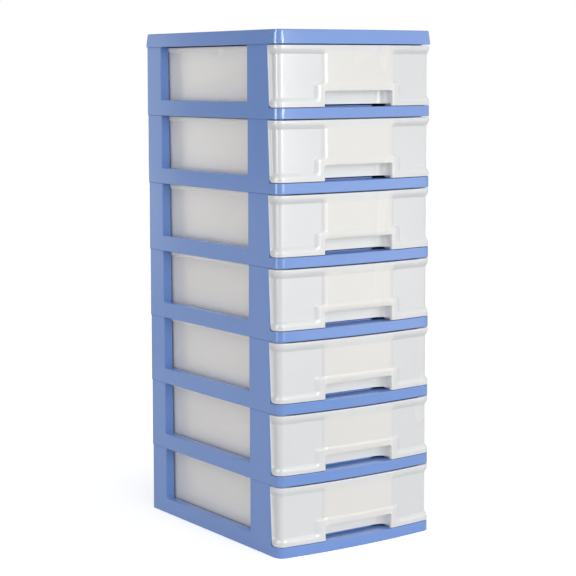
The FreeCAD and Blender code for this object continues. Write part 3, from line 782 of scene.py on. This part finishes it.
    def build(self) -> bpy.types.Object:
        """Build the tub with everything that is moulded to it, short of the front skin.

        Returns:
            The tub.
        """
        tub = self.profiled("tub", self.outer_steps(), self.half, self.rear, self.radius,
                            self.buried)
        join(tub, self.profiled("cavity", self.cavity_steps(), self.half, self.rear, self.radius,
                                self.buried - self.cavity_ahead), Join.CUT)
        steps = self.domed(self.under, self.front.pocket_top + WALL, self.housing_round, WALL)
        join(tub, self.profiled("housing", steps, self.pocket_half, self.pocket_rear,
                                self.pocket_radius, self.front.pocket_wall - self.housing_ahead),
             Join.ADD)
        join(tub, self.foot_plate(), Join.ADD)
        for side in Side:
            join(tub, self.top_flange(side), Join.ADD)
            edges = sorted((side.value * self.runner_outer,
                            side.value * (self.runner_outer - self.runner_width)))
            join(tub, self.block("runner", (edges[0], self.front.return_head, self.runner_low),
                                 (edges[1], self.runner_rear, self.under + self.overlap)), Join.ADD)
        join(tub, self.block("hook", (-self.hook_half, self.hook_rear - WALL, self.hook_low),
                             (self.hook_half, self.hook_rear, self.under + self.overlap)), Join.ADD)
        steps = self.domed(0.0, self.front.pocket_top, self.pocket_round, 0.0)
        join(tub, self.profiled("pocket", steps, self.pocket_half, self.pocket_rear,
                                self.pocket_radius, -self.pocket_ahead), Join.CUT)
        return tub


class NodeSheet:
    """A thin hand for placing and wiring shader nodes."""

    def __init__(self, tree: bpy.types.NodeTree) -> None:
        """Work on one node tree.

        Args:
            tree: the tree that gets the nodes.
        """
        self.tree = tree

    def add(self, kind: str, **values: object) -> bpy.types.Node:
        """Add a node and set its inputs or properties by name.

        Args:
            kind: the node's type name.
            values: property values, or input values where the name starts with in_.

        Returns:
            The node.
        """
        node = self.tree.nodes.new(kind)
        for name, value in values.items():
            if name.startswith("in_"):
                key = name[3:].replace("_", " ")
                socket = node.inputs[int(key) if key.isdigit() else key]
                if isinstance(value, bpy.types.NodeSocket):
                    self.tree.links.new(value, socket)
                else:
                    socket.default_value = value
            else:
                setattr(node, name, value)
        return node

    def math(self, operation: str, first: object, second: object = 0.0,
             clamped: bool = False) -> bpy.types.NodeSocket:
        """A math node.

        Args:
            operation: the operation's name.
            first: first value or socket.
            second: second value or socket.
            clamped: whether the result is held between 0 and 1.

        Returns:
            Its output.
        """
        node = self.add("ShaderNodeMath", operation=operation, use_clamp=clamped)
        for index, value in enumerate((first, second)):
            if isinstance(value, bpy.types.NodeSocket):
                self.tree.links.new(value, node.inputs[index])
            else:
                node.inputs[index].default_value = value
        return node.outputs[0]

    def spread(self, value: bpy.types.NodeSocket, low: float, high: float, to_low: float,
               to_high: float) -> bpy.types.NodeSocket:
        """Map a value's range onto another, clamped.

        Args:
            value: the value.
            low: low end of its range.
            high: high end of its range.
            to_low: what the low end becomes.
            to_high: what the high end becomes.

        Returns:
            The mapped value.
        """
        node = self.add("ShaderNodeMapRange", in_Value=value)
        numbers = (("From Min", low), ("From Max", high), ("To Min", to_low), ("To Max", to_high))
        for name, number in numbers:
            node.inputs[name].default_value = number
        return node.outputs["Result"]

    def fade(self, value: bpy.types.NodeSocket, span: Flat, to_low: float = 0.0,
             to_high: float = 1.0) -> bpy.types.NodeSocket:
        """Map a length's span, given in millimetres, onto another range, clamped."""
        return self.spread(value, span[0] * METRES, span[1] * METRES, to_low, to_high)

    def times(self, first: object, second: object) -> bpy.types.NodeSocket:
        """The product of two values."""
        return self.math("MULTIPLY", first, second)

    def blend(self, share: bpy.types.NodeSocket, first: object,
              second: bpy.types.NodeSocket) -> bpy.types.NodeSocket:
        """Mix two colours.

        Args:
            share: how much of the second colour there is.
            first: the first colour or its socket.
            second: the second colour's socket.

        Returns:
            The mixed colour.
        """
        node = self.add("ShaderNodeMix", data_type="RGBA", in_Factor=share, in_6=first, in_7=second)
        return node.outputs[2]

    def noise(self, place: bpy.types.NodeSocket, scale: float, detail: float = 2.0,
              distortion: float = 0.0) -> bpy.types.NodeSocket:
        """A noise value at a place.

        Args:
            place: where it is read, in metres.
            scale: how many features there are in a metre.
            detail: how much finer its finest features are.
            distortion: how far it is bent.

        Returns:
            The value, from 0 to 1.
        """
        node = self.add("ShaderNodeTexNoise", in_Vector=place, in_Scale=scale, in_Detail=detail,
                        in_Distortion=distortion)
        return node.outputs["Fac"]


class MouldedSkin:
    """The shader group for the skin of a moulded piece: tone, gloss and height.

    The plastic's flow lines run with the height, so they are drawn out by FLOW_STRETCH, and
    scratches run round the piece. Each scale is the number of features in a metre.
    """

    NAME = "moulded_skin"
    FLOW_SCALE = 9.0
    FLOW_STRETCH = (1.0, 1.0, 0.25)
    FLOW_DETAIL = (3.0, 0.6)
    CLOUD_SCALE = 3.2
    CLOUD_SHARE = 0.6
    TONE_SPAN = (0.35, 0.65)
    GRAIN_SCALE = 900.0
    GRAIN_HEIGHT = 0.06
    SCRATCH_SCALE = 260.0
    SCRATCH_STRETCH = (1.0, 1.0, 9.0)
    SCRATCH_DETAIL = (4.0, 0.3)
    SCRATCH_SPAN = (0.62, 0.78)
    PATCH_SCALE = 14.0
    PATCH_SPAN = (0.45, 0.70)
    SCRATCH_PALE = 0.5
    GLOSS_SWING = 0.10

    @classmethod
    def group(cls) -> bpy.types.NodeTree:
        """The group, built on first use.

        Returns:
            The node group.
        """
        found = bpy.data.node_groups.get(cls.NAME)
        if found:
            return found
        tree = bpy.data.node_groups.new(cls.NAME, "ShaderNodeTree")
        face = tree.interface
        for name, kind, value in (("Tint", "NodeSocketColor", (0.5, 0.5, 0.5, 1.0)),
                                  ("Pale", "NodeSocketColor", (0.8, 0.8, 0.8, 1.0)),
                                  ("Cloud", "NodeSocketFloat", 0.04),
                                  ("Gloss", "NodeSocketFloat", 0.25),
                                  ("Scuff", "NodeSocketFloat", 0.1)):
            face.new_socket(name, in_out="INPUT", socket_type=kind).default_value = value
        face.new_socket("Colour", in_out="OUTPUT", socket_type="NodeSocketColor")
        face.new_socket("Roughness", in_out="OUTPUT", socket_type="NodeSocketFloat")
        face.new_socket("Height", in_out="OUTPUT", socket_type="NodeSocketFloat")
        sheet = NodeSheet(tree)
        given = sheet.add("NodeGroupInput").outputs
        place = sheet.add("ShaderNodeTexCoord").outputs["Object"]
        drawn = cls.stretched(sheet, place, cls.FLOW_STRETCH)
        flow = sheet.noise(drawn, cls.FLOW_SCALE, *cls.FLOW_DETAIL)
        cloud = sheet.noise(place, cls.CLOUD_SCALE)
        tone = sheet.math("ADD", sheet.times(cloud, cls.CLOUD_SHARE),
                          sheet.times(flow, 1 - cls.CLOUD_SHARE))
        amount = sheet.times(sheet.spread(tone, *cls.TONE_SPAN, 0.0, 1.0), given["Cloud"])
        brushed = cls.stretched(sheet, place, cls.SCRATCH_STRETCH)
        scratch = sheet.spread(sheet.noise(brushed, cls.SCRATCH_SCALE, *cls.SCRATCH_DETAIL),
                               *cls.SCRATCH_SPAN, 0.0, 1.0)
        patch = sheet.spread(sheet.noise(place, cls.PATCH_SCALE), *cls.PATCH_SPAN, 0.0, 1.0)
        scuff = sheet.times(sheet.times(scratch, patch), given["Scuff"])
        share = sheet.math("ADD", amount, sheet.times(scuff, cls.SCRATCH_PALE), True)
        colour = sheet.blend(share, given["Tint"], given["Pale"])
        swing = sheet.times(sheet.math("SUBTRACT", flow, 0.5), cls.GLOSS_SWING)
        rough = sheet.math("ADD", sheet.math("ADD", given["Gloss"], swing), scuff, True)
        grain = sheet.noise(place, cls.GRAIN_SCALE)
        height = sheet.math("ADD", sheet.times(grain, cls.GRAIN_HEIGHT), flow)
        out = sheet.add("NodeGroupOutput")
        tree.links.new(colour, out.inputs["Colour"])
        tree.links.new(rough, out.inputs["Roughness"])
        tree.links.new(height, out.inputs["Height"])
        return tree

    @staticmethod
    def stretched(sheet: NodeSheet, place: bpy.types.NodeSocket,
                  scale: Point) -> bpy.types.NodeSocket:
        """A place whose three axes are scaled, which draws a pattern out along one of them.

        Args:
            sheet: the group's nodes.
            place: the place.
            scale: what each axis is multiplied by.

        Returns:
            The scaled place.
        """
        node = sheet.add("ShaderNodeMapping", in_Vector=place)
        node.inputs["Scale"].default_value = scale
        return node.outputs[0]


class DrawerTone:
    """The shader group that tints the drawer's plastic by place, with painted shade and painted
    light.

    The front is painted cooler and darker beside its centre panel and along its rim, a painted
    shade for the dim inside seen through the thin plastic, and its right-hand panel is painted
    darker still, a painted shade where the bowed front turns away from the light. The tub is
    painted warmer and paler, painted light for what comes through the thin plastic. A painted glow
    stands for light that comes through at the finger pocket, the lip, the top edge and the returns'
    rear edge, and the pocket's glow is painted dimmer towards its ends and its top. Spans are in
    millimetres, and heights are those in the tier.
    """

    NAME = "drawer_tone"
    # Painted shade: the front is painted cooler and darker beside the centre panel and along the
    # rim.
    BESIDE_CENTRE = (56.0, 59.5)
    RIM = (84.5, 89.0)
    # The tub, painted warmer and paler as painted light.
    TUB = (-139.0, -137.8)
    # The finger pocket, painted paler and made to glow as painted light; its glow is painted dimmer
    # towards the ends and the top as painted shade.
    POCKET_FRONT = (-166.8, -165.5)
    POCKET_REAR = (-145.5, -144.5)
    POCKET_SIDE = (55.2, 55.8)
    POCKET_TOP = (43.0, 43.6)
    POCKET_END_SHADE = (40.0, 54.0)
    POCKET_END_LEAST = 0.15
    POCKET_TOP_SHADE = (28.0, 35.0)
    POCKET_TOP_LEAST = 0.40
    # Painted light: a glow along the tub's lip, where it lies in the shade under the frame's rail.
    LIP = (87.0, 88.5)
    LIP_GLOW = 0.5
    # Painted highlight: a glow along the drawer's top edge, which lies in the dark gap under the
    # rail.
    TOP_EDGE = (92.9, 93.4)
    # Painted highlight: a bright line along the returns' rear edge, for light seen through the thin
    # edge.
    RETURN_HEIGHTS = (DrawerFront.foot, DrawerFront.top)
    RETURN_REARS = (DrawerFront.return_foot, DrawerFront.return_head)
    RETURN_EDGE = (-1.8, -0.8)
    RETURN_GLOW = 0.9
    RETURN_SIDE = (113.5, 114.5)

    @classmethod
    def group(cls) -> bpy.types.NodeTree:
        """The group, built on first use.

        Returns:
            The node group.
        """
        found = bpy.data.node_groups.get(cls.NAME)
        if found:
            return found
        tree = bpy.data.node_groups.new(cls.NAME, "ShaderNodeTree")
        face = tree.interface
        for name in ("Centre", "CoolShadeTint", "RightShadeTint", "WarmLightTint", "Pocket"):
            face.new_socket(name, in_out="INPUT", socket_type="NodeSocketColor")
        face.new_socket("Colour", in_out="OUTPUT", socket_type="NodeSocketColor")
        face.new_socket("PaintedGlow", in_out="OUTPUT", socket_type="NodeSocketColor")
        sheet = NodeSheet(tree)
        given = sheet.add("NodeGroupInput").outputs
        place = sheet.add("ShaderNodeTexCoord").outputs["Object"]
        split = sheet.add("ShaderNodeSeparateXYZ", in_0=place).outputs
        side = sheet.math("ABSOLUTE", split["X"])
        height = sheet.math("MODULO", split["Z"], TIER_PITCH * METRES)
        beside = sheet.fade(side, cls.BESIDE_CENTRE)
        # Painted shade: cooler and darker beside the centre panel and along the rim, for the dim
        # inside seen through the thin plastic.
        cool_shade_tint = sheet.math("MAXIMUM", beside, sheet.fade(height, cls.RIM))
        # Painted shade: the right-hand panel beside the centre is painted darker, where the bowed
        # front turns away from the light.
        far = sheet.times(beside, sheet.math("GREATER_THAN", split["X"], 0.0))
        # Painted light: the tub is painted warmer and paler, for light that reaches it through the
        # thin plastic.
        behind = sheet.fade(split["Y"], cls.TUB)
        # Painted light: inside the finger pocket the plastic is painted paler, for light that comes
        # through its thin walls.
        inner = sheet.times(sheet.fade(split["Y"], cls.POCKET_FRONT),
                            sheet.fade(split["Y"], cls.POCKET_REAR, 1.0, 0.0))
        inner = sheet.times(inner, sheet.fade(side, cls.POCKET_SIDE, 1.0, 0.0))
        inner = sheet.times(inner, sheet.fade(height, cls.POCKET_TOP, 1.0, 0.0))
        colour = given["Centre"]
        for mask, name in ((cool_shade_tint, "CoolShadeTint"), (far, "RightShadeTint"), (behind, "WarmLightTint"), (inner, "Pocket")):
            colour = sheet.blend(mask, colour, given[name])
        # Painted shade: the pocket's painted glow dims towards its ends and its top.
        deep = sheet.times(sheet.fade(side, cls.POCKET_END_SHADE, 1.0, cls.POCKET_END_LEAST),
                           sheet.fade(height, cls.POCKET_TOP_SHADE, 1.0, cls.POCKET_TOP_LEAST))
        # Painted light: the glow along the tub's lip.
        lip = sheet.times(behind, sheet.fade(height, cls.LIP, 0.0, cls.LIP_GLOW))
        # Painted highlight along the returns' rear edge.
        rear = sheet.fade(height, cls.RETURN_HEIGHTS, *(end * METRES for end in cls.RETURN_REARS))
        edge = sheet.fade(sheet.math("SUBTRACT", split["Y"], rear), cls.RETURN_EDGE, 0.0,
                          cls.RETURN_GLOW)
        edge = sheet.times(edge, sheet.fade(side, cls.RETURN_SIDE))
        # Painted glow, in the pocket's painted colour: in the pocket, along the lip, on the
        # returns' rear edge and along the top edge.
        glow = sheet.times(inner, deep)
        for mask in (lip, edge, sheet.fade(height, cls.TOP_EDGE)):
            glow = sheet.math("MAXIMUM", glow, mask)
        out = sheet.add("NodeGroupOutput")
        tree.links.new(colour, out.inputs["Colour"])
        tree.links.new(sheet.blend(glow, (0.0, 0.0, 0.0, 1.0), given["Pocket"]), out.inputs["PaintedGlow"])
        return tree


@dataclass(frozen=True)
class MouldedPlastic:
    """A glossy moulded plastic."""

    name: str
    tint: Colour
    pale: Colour
    cloud: float
    gloss: float
    scuff: float
    ripple: float
    ior: float = 1.49
    shine: float = 0.42
    milk: float = 0.0
    milk_depth: float = 0.004
    milk_colour: Point = (1.0, 0.9, 0.8)

    def material(self) -> bpy.types.Material:
        """The plastic's material, made on first use.

        Returns:
            The material.
        """
        found = bpy.data.materials.get(self.name)
        if found:
            return found
        material = bpy.data.materials.new(self.name)
        material.use_nodes = True
        tree = material.node_tree
        tree.nodes.clear()
        sheet = NodeSheet(tree)
        skin = sheet.add("ShaderNodeGroup", node_tree=MouldedSkin.group())
        for name, value in (("Pale", self.pale), ("Cloud", self.cloud), ("Gloss", self.gloss),
                            ("Scuff", self.scuff)):
            skin.inputs[name].default_value = value
        skin.inputs["Tint"].default_value = self.tint
        bump = sheet.add("ShaderNodeBump", in_Height=skin.outputs["Height"], in_Strength=1.0)
        bump.inputs["Distance"].default_value = self.ripple
        shader = sheet.add("ShaderNodeBsdfPrincipled", in_Base_Color=skin.outputs["Colour"],
                           in_Roughness=skin.outputs["Roughness"], in_Normal=bump.outputs["Normal"],
                           in_IOR=self.ior)
        shader.inputs["Specular IOR Level"].default_value = self.shine
        shader.inputs["Subsurface Weight"].default_value = self.milk
        shader.inputs["Subsurface Scale"].default_value = self.milk_depth
        shader.inputs["Subsurface Radius"].default_value = self.milk_colour
        sheet.add("ShaderNodeOutputMaterial", in_Surface=shader.outputs[0])
        self.refine(sheet, skin, shader)
        return material

    def refine(self, sheet: NodeSheet, skin: bpy.types.Node, shader: bpy.types.Node) -> None:
        """Add what one kind of plastic has beyond the others; this one has nothing more."""


@dataclass(frozen=True)
class DrawerPlastic(MouldedPlastic):
    """The drawers' milky plastic, whose tint changes from place to place with painted shade and
    painted light.
    """

    # Painted shade beside the centre panel and along the rim.
    cool_shade_tint: Colour = (0.750, 0.760, 0.770, 1.0)
    # Painted shade on the right-hand panel beside the centre.
    far: Colour = (0.720, 0.728, 0.738, 1.0)
    # Painted light on the tub.
    warm_light_tint: Colour = (0.930, 0.880, 0.830, 1.0)
    # Painted light: the pocket's paler tint, which is also the colour of the painted glow.
    pocket: Colour = (0.88, 0.865, 0.80, 1.0)
    # Strength of the painted glow.
    glow: float = 0.16

    def refine(self, sheet: NodeSheet, skin: bpy.types.Node, shader: bpy.types.Node) -> None:
        """Tint the plastic by place with painted shade and light, and paint a glow where it is thin
        or deep.

        Args:
            sheet: the material's nodes.
            skin: its skin group.
            shader: its shader.
        """
        tone = sheet.add("ShaderNodeGroup", node_tree=DrawerTone.group())
        for name, value in (("Centre", self.tint), ("CoolShadeTint", self.cool_shade_tint), ("RightShadeTint", self.far),
                            ("WarmLightTint", self.warm_light_tint), ("Pocket", self.pocket)):
            tone.inputs[name].default_value = value
        sheet.tree.links.new(tone.outputs["Colour"], skin.inputs["Tint"])
        sheet.tree.links.new(tone.outputs["PaintedGlow"], shader.inputs["Emission Color"])
        shader.inputs["Emission Strength"].default_value = self.glow


BLUE = MouldedPlastic("sky_blue_plastic", (0.172, 0.310, 0.695, 1.0), (0.205, 0.342, 0.722, 1.0),
                      cloud=0.5, gloss=0.17, scuff=0.06, ripple=0.00006)
WHITE = DrawerPlastic("milky_white_plastic", (0.785, 0.775, 0.748, 1.0), (0.86, 0.858, 0.85, 1.0),
                      cloud=0.25, gloss=0.26, scuff=0.05, ripple=0.00005, milk=0.4)


def dress(piece: bpy.types.Object, finish: MouldedPlastic, crease: float = 30.0) -> None:
    """Give a piece its finish, and shade it smooth but for its creases.

    Args:
        piece: the piece.
        finish: its plastic.
        crease: angle in degrees over which an edge stays sharp.
    """
    piece.data.materials.clear()
    piece.data.materials.append(finish.material())
    piece.data.shade_smooth()
    piece.data.set_sharp_from_angle(angle=math.radians(crease))


def in_each_tier(first: bpy.types.Object, stem: str) -> list[bpy.types.Object]:
    """Copy the first tier's piece into every other tier.

    Args:
        first: the first tier's piece.
        stem: the pieces' name without the tier's number.

    Returns:
        All pieces from the bottom up.
    """
    pieces = [first]
    for tier in range(1, TIER_COUNT):
        piece = bpy.data.objects.new(f"{stem}_{tier + 1}", first.data.copy())
        bpy.context.scene.collection.objects.link(piece)
        piece.data.transform(Matrix.Translation((0.0, 0.0, tier * TIER_PITCH * METRES)))
        pieces.append(piece)
    return pieces


def settle(piece: bpy.types.Object, body: str, node: str) -> None:
    """Let a piece ride on a body and stand for a node.

    Args:
        piece: the piece.
        body: the body that it moves with.
        node: the node that it stands for.
    """
    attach(piece, body)
    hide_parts(node)
    LOG.info("%s: %d faces, rides on %s", piece.name, len(piece.data.polygons), body)


@dataclass
class DrawerMoulding:
    """All seven drawers, which are one moulding."""

    front: DrawerFront = field(default_factory=DrawerFront)
    weld: float = 0.002

    def build(self) -> bpy.types.Object:
        """Build the first tier's drawer.

        Returns:
            The drawer.
        """
        drawer = Tub(self.front).build()
        join(drawer, self.front.build(), Join.ADD)
        work = bmesh.new()
        work.from_mesh(drawer.data)
        bmesh.ops.remove_doubles(work, verts=work.verts, dist=self.weld * METRES)
        bmesh.ops.dissolve_degenerate(work, edges=work.edges, dist=self.weld * METRES)
        work.to_mesh(drawer.data)
        work.free()
        drawer.name = "drawer_moulding_1"
        return drawer

    def place(self) -> None:
        """Build the drawers, one in each tier, and let each ride on its own body."""
        first = self.build()
        dress(first, WHITE)
        for tier, piece in enumerate(in_each_tier(first, "drawer_moulding"), start=1):
            settle(piece, f"drawer_{tier}", f"drawer_{tier}")


@dataclass
class FrameMoulding:
    """The seven tier frames, which are one moulding, and the lid."""

    edge_width: float = 0.45
    edge_steps: int = 2
    crease: float = 25.0
    flat: float = 0.4
    level: float = 0.99
    weld: float = 0.001
    body: str = "root"

    def soften(self, node: str, name: str) -> bpy.types.Object:
        """Copy a node's form with its edges rounded off and its curves shaded smooth.

        Args:
            node: the node whose form is copied.
            name: the new piece's name.

        Returns:
            The new piece, in the node's place.
        """
        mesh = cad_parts[node].data.copy()
        work = bmesh.new()
        work.from_mesh(mesh)
        bmesh.ops.remove_doubles(work, verts=work.verts, dist=self.weld * METRES)
        bmesh.ops.dissolve_limit(work, angle_limit=math.radians(self.flat), verts=work.verts,
                                 edges=work.edges, delimit=set())
        # A level face that goes round an opening would close over when its edges are rounded.
        work.normal_update()
        level = [face for face in work.faces
                 if len(face.verts) > 4 and abs(face.normal.z) > self.level]
        bmesh.ops.triangulate(work, faces=level)
        work.to_mesh(mesh)
        work.free()
        for attribute in [item for item in mesh.attributes if item.name == "custom_normal"]:
            mesh.attributes.remove(attribute)
        mesh.shade_smooth()
        piece = bpy.data.objects.new(name, mesh)
        bpy.context.scene.collection.objects.link(piece)
        bevel = piece.modifiers.new("edges", "BEVEL")
        bevel.width = self.edge_width * METRES
        bevel.segments = self.edge_steps
        bevel.limit_method = "ANGLE"
        bevel.angle_limit = math.radians(self.crease)
        bevel.use_clamp_overlap = False
        bevel.miter_outer = "MITER_ARC"
        piece.modifiers.new("normals", "WEIGHTED_NORMAL")
        graph = bpy.context.evaluated_depsgraph_get()
        result = bpy.data.meshes.new_from_object(piece.evaluated_get(graph))
        piece.modifiers.clear()
        piece.data = result
        bpy.data.meshes.remove(mesh)
        result.materials.clear()
        result.materials.append(BLUE.material())
        return piece

    def place(self) -> None:
        """Build the seven frames and the lid."""
        first = self.soften("tier_frame_1", "frame_moulding_1")
        for tier, piece in enumerate(in_each_tier(first, "frame_moulding"), start=1):
            settle(piece, self.body, f"tier_frame_{tier}")
        settle(self.soften("top_lid", "lid_moulding"), self.body, "top_lid")


@dataclass(frozen=True)
class Lamp:
    """A tall soft lamp beside the tower, in metres.

    Its bearing is in degrees from straight in front, positive to the tower's left, and its
    radiance is its brightness, where 1 is white. One that doesn't light only shows in gloss.
    """

    name: str
    bearing: float
    width: float
    low: float
    high: float
    radiance: float
    lights: bool = False
    rounded: bool = False
    distance: float = 1.5


LAMPS = (
    Lamp("left_strip", 77.0, 0.60, 0.42, 1.5, 13.5),
    Lamp("left_strip_foot", 77.0, 0.60, 0.04, 0.42, 4.0),
    Lamp("front_strip", -2.0, 0.52, 0.42, 1.5, 15.0),
    Lamp("front_strip_foot", -2.0, 0.52, 0.04, 0.42, 3.8),
    Lamp("front_box", -34.0, 0.95, 0.02, 0.48, 1.95),
    Lamp("rear_box", 157.0, 0.52, 0.10, 1.20, 1.40, lights=True, rounded=True),
)


@dataclass
class Studio:
    """The floor, the lights, the surroundings and the camera."""

    camera_place: Point = (-1.311762, -1.915474, 0.627785)
    azimuth: float = 34.402
    pitch: float = 7.297
    roll: float = -0.282
    lens: float = 104.753
    ambient: float = 0.395
    ambient_front: float = 1.35
    ambient_bearing: float = 3.0
    sheen: float = 0.40
    sheen_front: float = 1.90
    sheen_bearing: float = -34.0
    sensor: float = 36.0
    nearest: float = 0.05
    farthest: float = 60.0
    floor_radius: float = 9000.0
    floor_edge: float = 10.0
    floor_depths: Point = (-12.0, -2.0, 0.0)
    floor_sides: int = 64
    floor_noise: Flat = (2.0, 3.0)
    floor_span: Flat = (0.3, 0.7)
    floor_tone: Flat = (0.80, 0.82)
    floor_glow: float = 0.54

    def camera(self) -> None:
        """Place the camera where the photograph was taken from."""
        azimuth = math.radians(self.azimuth)
        pitch = math.radians(self.pitch)
        roll = math.radians(self.roll)
        ahead = Vector((math.sin(azimuth) * math.cos(pitch), math.cos(azimuth) * math.cos(pitch),
                        -math.sin(pitch)))
        right = Vector((math.cos(azimuth), -math.sin(azimuth), 0.0))
        up = right.cross(ahead)
        leaning_right = right * math.cos(roll) + up * math.sin(roll)
        leaning_up = up * math.cos(roll) - right * math.sin(roll)
        data = bpy.data.cameras.new("photo_camera")
        data.sensor_fit = "HORIZONTAL"
        data.sensor_width = self.sensor
        data.lens = self.lens
        data.clip_start = self.nearest
        data.clip_end = self.farthest
        camera = bpy.data.objects.new("photo_camera", data)
        bpy.context.scene.collection.objects.link(camera)
        turn = Matrix((leaning_right, leaning_up, -ahead)).transposed().to_4x4()
        camera.matrix_world = Matrix.Translation(self.camera_place) @ turn
        bpy.context.scene.camera = camera

    def lamp(self, lamp: Lamp) -> None:
        """Set up one soft lamp that faces the tower.

        Args:
            lamp: the lamp's place, size and brightness.
        """
        height = lamp.high - lamp.low
        area = lamp.width * height * (math.pi / 4 if lamp.rounded else 1.0)
        data = bpy.data.lights.new(lamp.name, "AREA")
        data.shape = "ELLIPSE" if lamp.rounded else "RECTANGLE"
        data.size = lamp.width
        data.size_y = height
        data.energy = lamp.radiance * math.pi * area
        item = bpy.data.objects.new(lamp.name, data)
        item.visible_camera = False
        item.visible_diffuse = lamp.lights
        bpy.context.scene.collection.objects.link(item)
        angle = math.radians(lamp.bearing)
        outward = Vector((-math.sin(angle), -math.cos(angle), 0.0))
        place = outward * lamp.distance + Vector((0.0, 0.0, (lamp.low + lamp.high) / 2))
        item.matrix_world = (Matrix.Translation(place)
                             @ (-outward).to_track_quat("-Z", "Y").to_matrix().to_4x4())

    def floor(self) -> None:
        """A plain pale floor that keeps the tower's shadow."""
        draft = Draft()
        low, middle, top = self.floor_depths
        inner = self.floor_radius - self.floor_edge
        turns = [math.tau * step / self.floor_sides for step in range(self.floor_sides)]
        draft.loft([[(radius * math.cos(turn), radius * math.sin(turn), height) for turn in turns]
                    for radius, height in ((self.floor_radius, low), (self.floor_radius, middle),
                                           (inner, top))])
        floor = draft.solid("floor")
        material = bpy.data.materials.new("pale_floor")
        material.use_nodes = True
        material.node_tree.nodes.clear()
        sheet = NodeSheet(material.node_tree)
        place = sheet.add("ShaderNodeTexCoord").outputs["Object"]
        tone = sheet.spread(sheet.noise(place, *self.floor_noise), *self.floor_span,
                            *self.floor_tone)
        path = sheet.add("ShaderNodeLightPath").outputs
        seen = sheet.math("ADD", path["Is Camera Ray"], path["Is Glossy Ray"])
        seen = sheet.math("ADD", seen, path["Is Transmission Ray"], True)
        diffuse = sheet.add("ShaderNodeBsdfDiffuse", in_Color=tone)
        glow = sheet.add("ShaderNodeEmission", in_Strength=sheet.times(seen, self.floor_glow))
        both = sheet.add("ShaderNodeAddShader", in_0=diffuse.outputs[0], in_1=glow.outputs[0])
        sheet.add("ShaderNodeOutputMaterial", in_Surface=both.outputs[0])
        floor.data.materials.append(material)

    def world(self) -> None:
        """White surroundings that light the tower, and show in its gloss, most from the front."""
        world = bpy.data.worlds.new("white_surroundings")
        world.use_nodes = True
        bpy.context.scene.world = world
        world.node_tree.nodes.clear()
        sheet = NodeSheet(world.node_tree)
        path = sheet.add("ShaderNodeLightPath").outputs
        clear = sheet.math("ADD", path["Is Camera Ray"], path["Is Transmission Ray"], True)
        glossy = sheet.times(path["Is Glossy Ray"], sheet.math("SUBTRACT", 1.0, clear))
        rest = sheet.math("SUBTRACT", sheet.math("SUBTRACT", 1.0, clear), glossy)
        even = self.lobe(sheet, self.ambient, self.ambient_front, self.ambient_bearing)
        sheen = self.lobe(sheet, self.sheen, self.sheen_front, self.sheen_bearing)
        strength = sheet.math("ADD", clear, sheet.times(glossy, sheen))
        strength = sheet.math("ADD", strength, sheet.times(rest, even))
        back = sheet.add("ShaderNodeBackground", in_Color=(1.0, 1.0, 1.0, 1.0),
                         in_Strength=strength)
        sheet.add("ShaderNodeOutputWorld", in_Surface=back.outputs[0])

    def lobe(self, sheet: NodeSheet, even: float, extra: float,
             bearing: float) -> bpy.types.NodeSocket:
        """A brightness that is highest from one bearing and falls off to the sides.

        Args:
            sheet: the world's nodes.
            even: brightness from behind and from straight above.
            extra: what is added at the bearing.
            bearing: degrees from straight in front, positive to the tower's left.

        Returns:
            The brightness from each direction.
        """
        every = sheet.add("ShaderNodeTexCoord").outputs["Generated"]
        way = sheet.add("ShaderNodeSeparateXYZ", in_0=every).outputs
        angle = math.radians(bearing)
        ahead = sheet.math("ADD", sheet.times(way["X"], -math.sin(angle)),
                           sheet.times(way["Y"], -math.cos(angle)))
        return sheet.math("ADD", sheet.times(sheet.math("MAXIMUM", ahead, 0.0), extra), even)

    def build(self) -> None:
        """Build the studio."""
        bpy.context.scene.view_settings.view_transform = "Standard"
        self.camera()
        self.world()
        self.floor()
        for lamp in LAMPS:
            self.lamp(lamp)


def main() -> None:
    """Build the studio and the tower's pieces."""
    logging.basicConfig(level=logging.INFO, format="%(message)s")
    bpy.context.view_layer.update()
    Studio().build()
    FrameMoulding().place()
    DrawerMoulding().place()


if __name__ == "__main__":
    main()
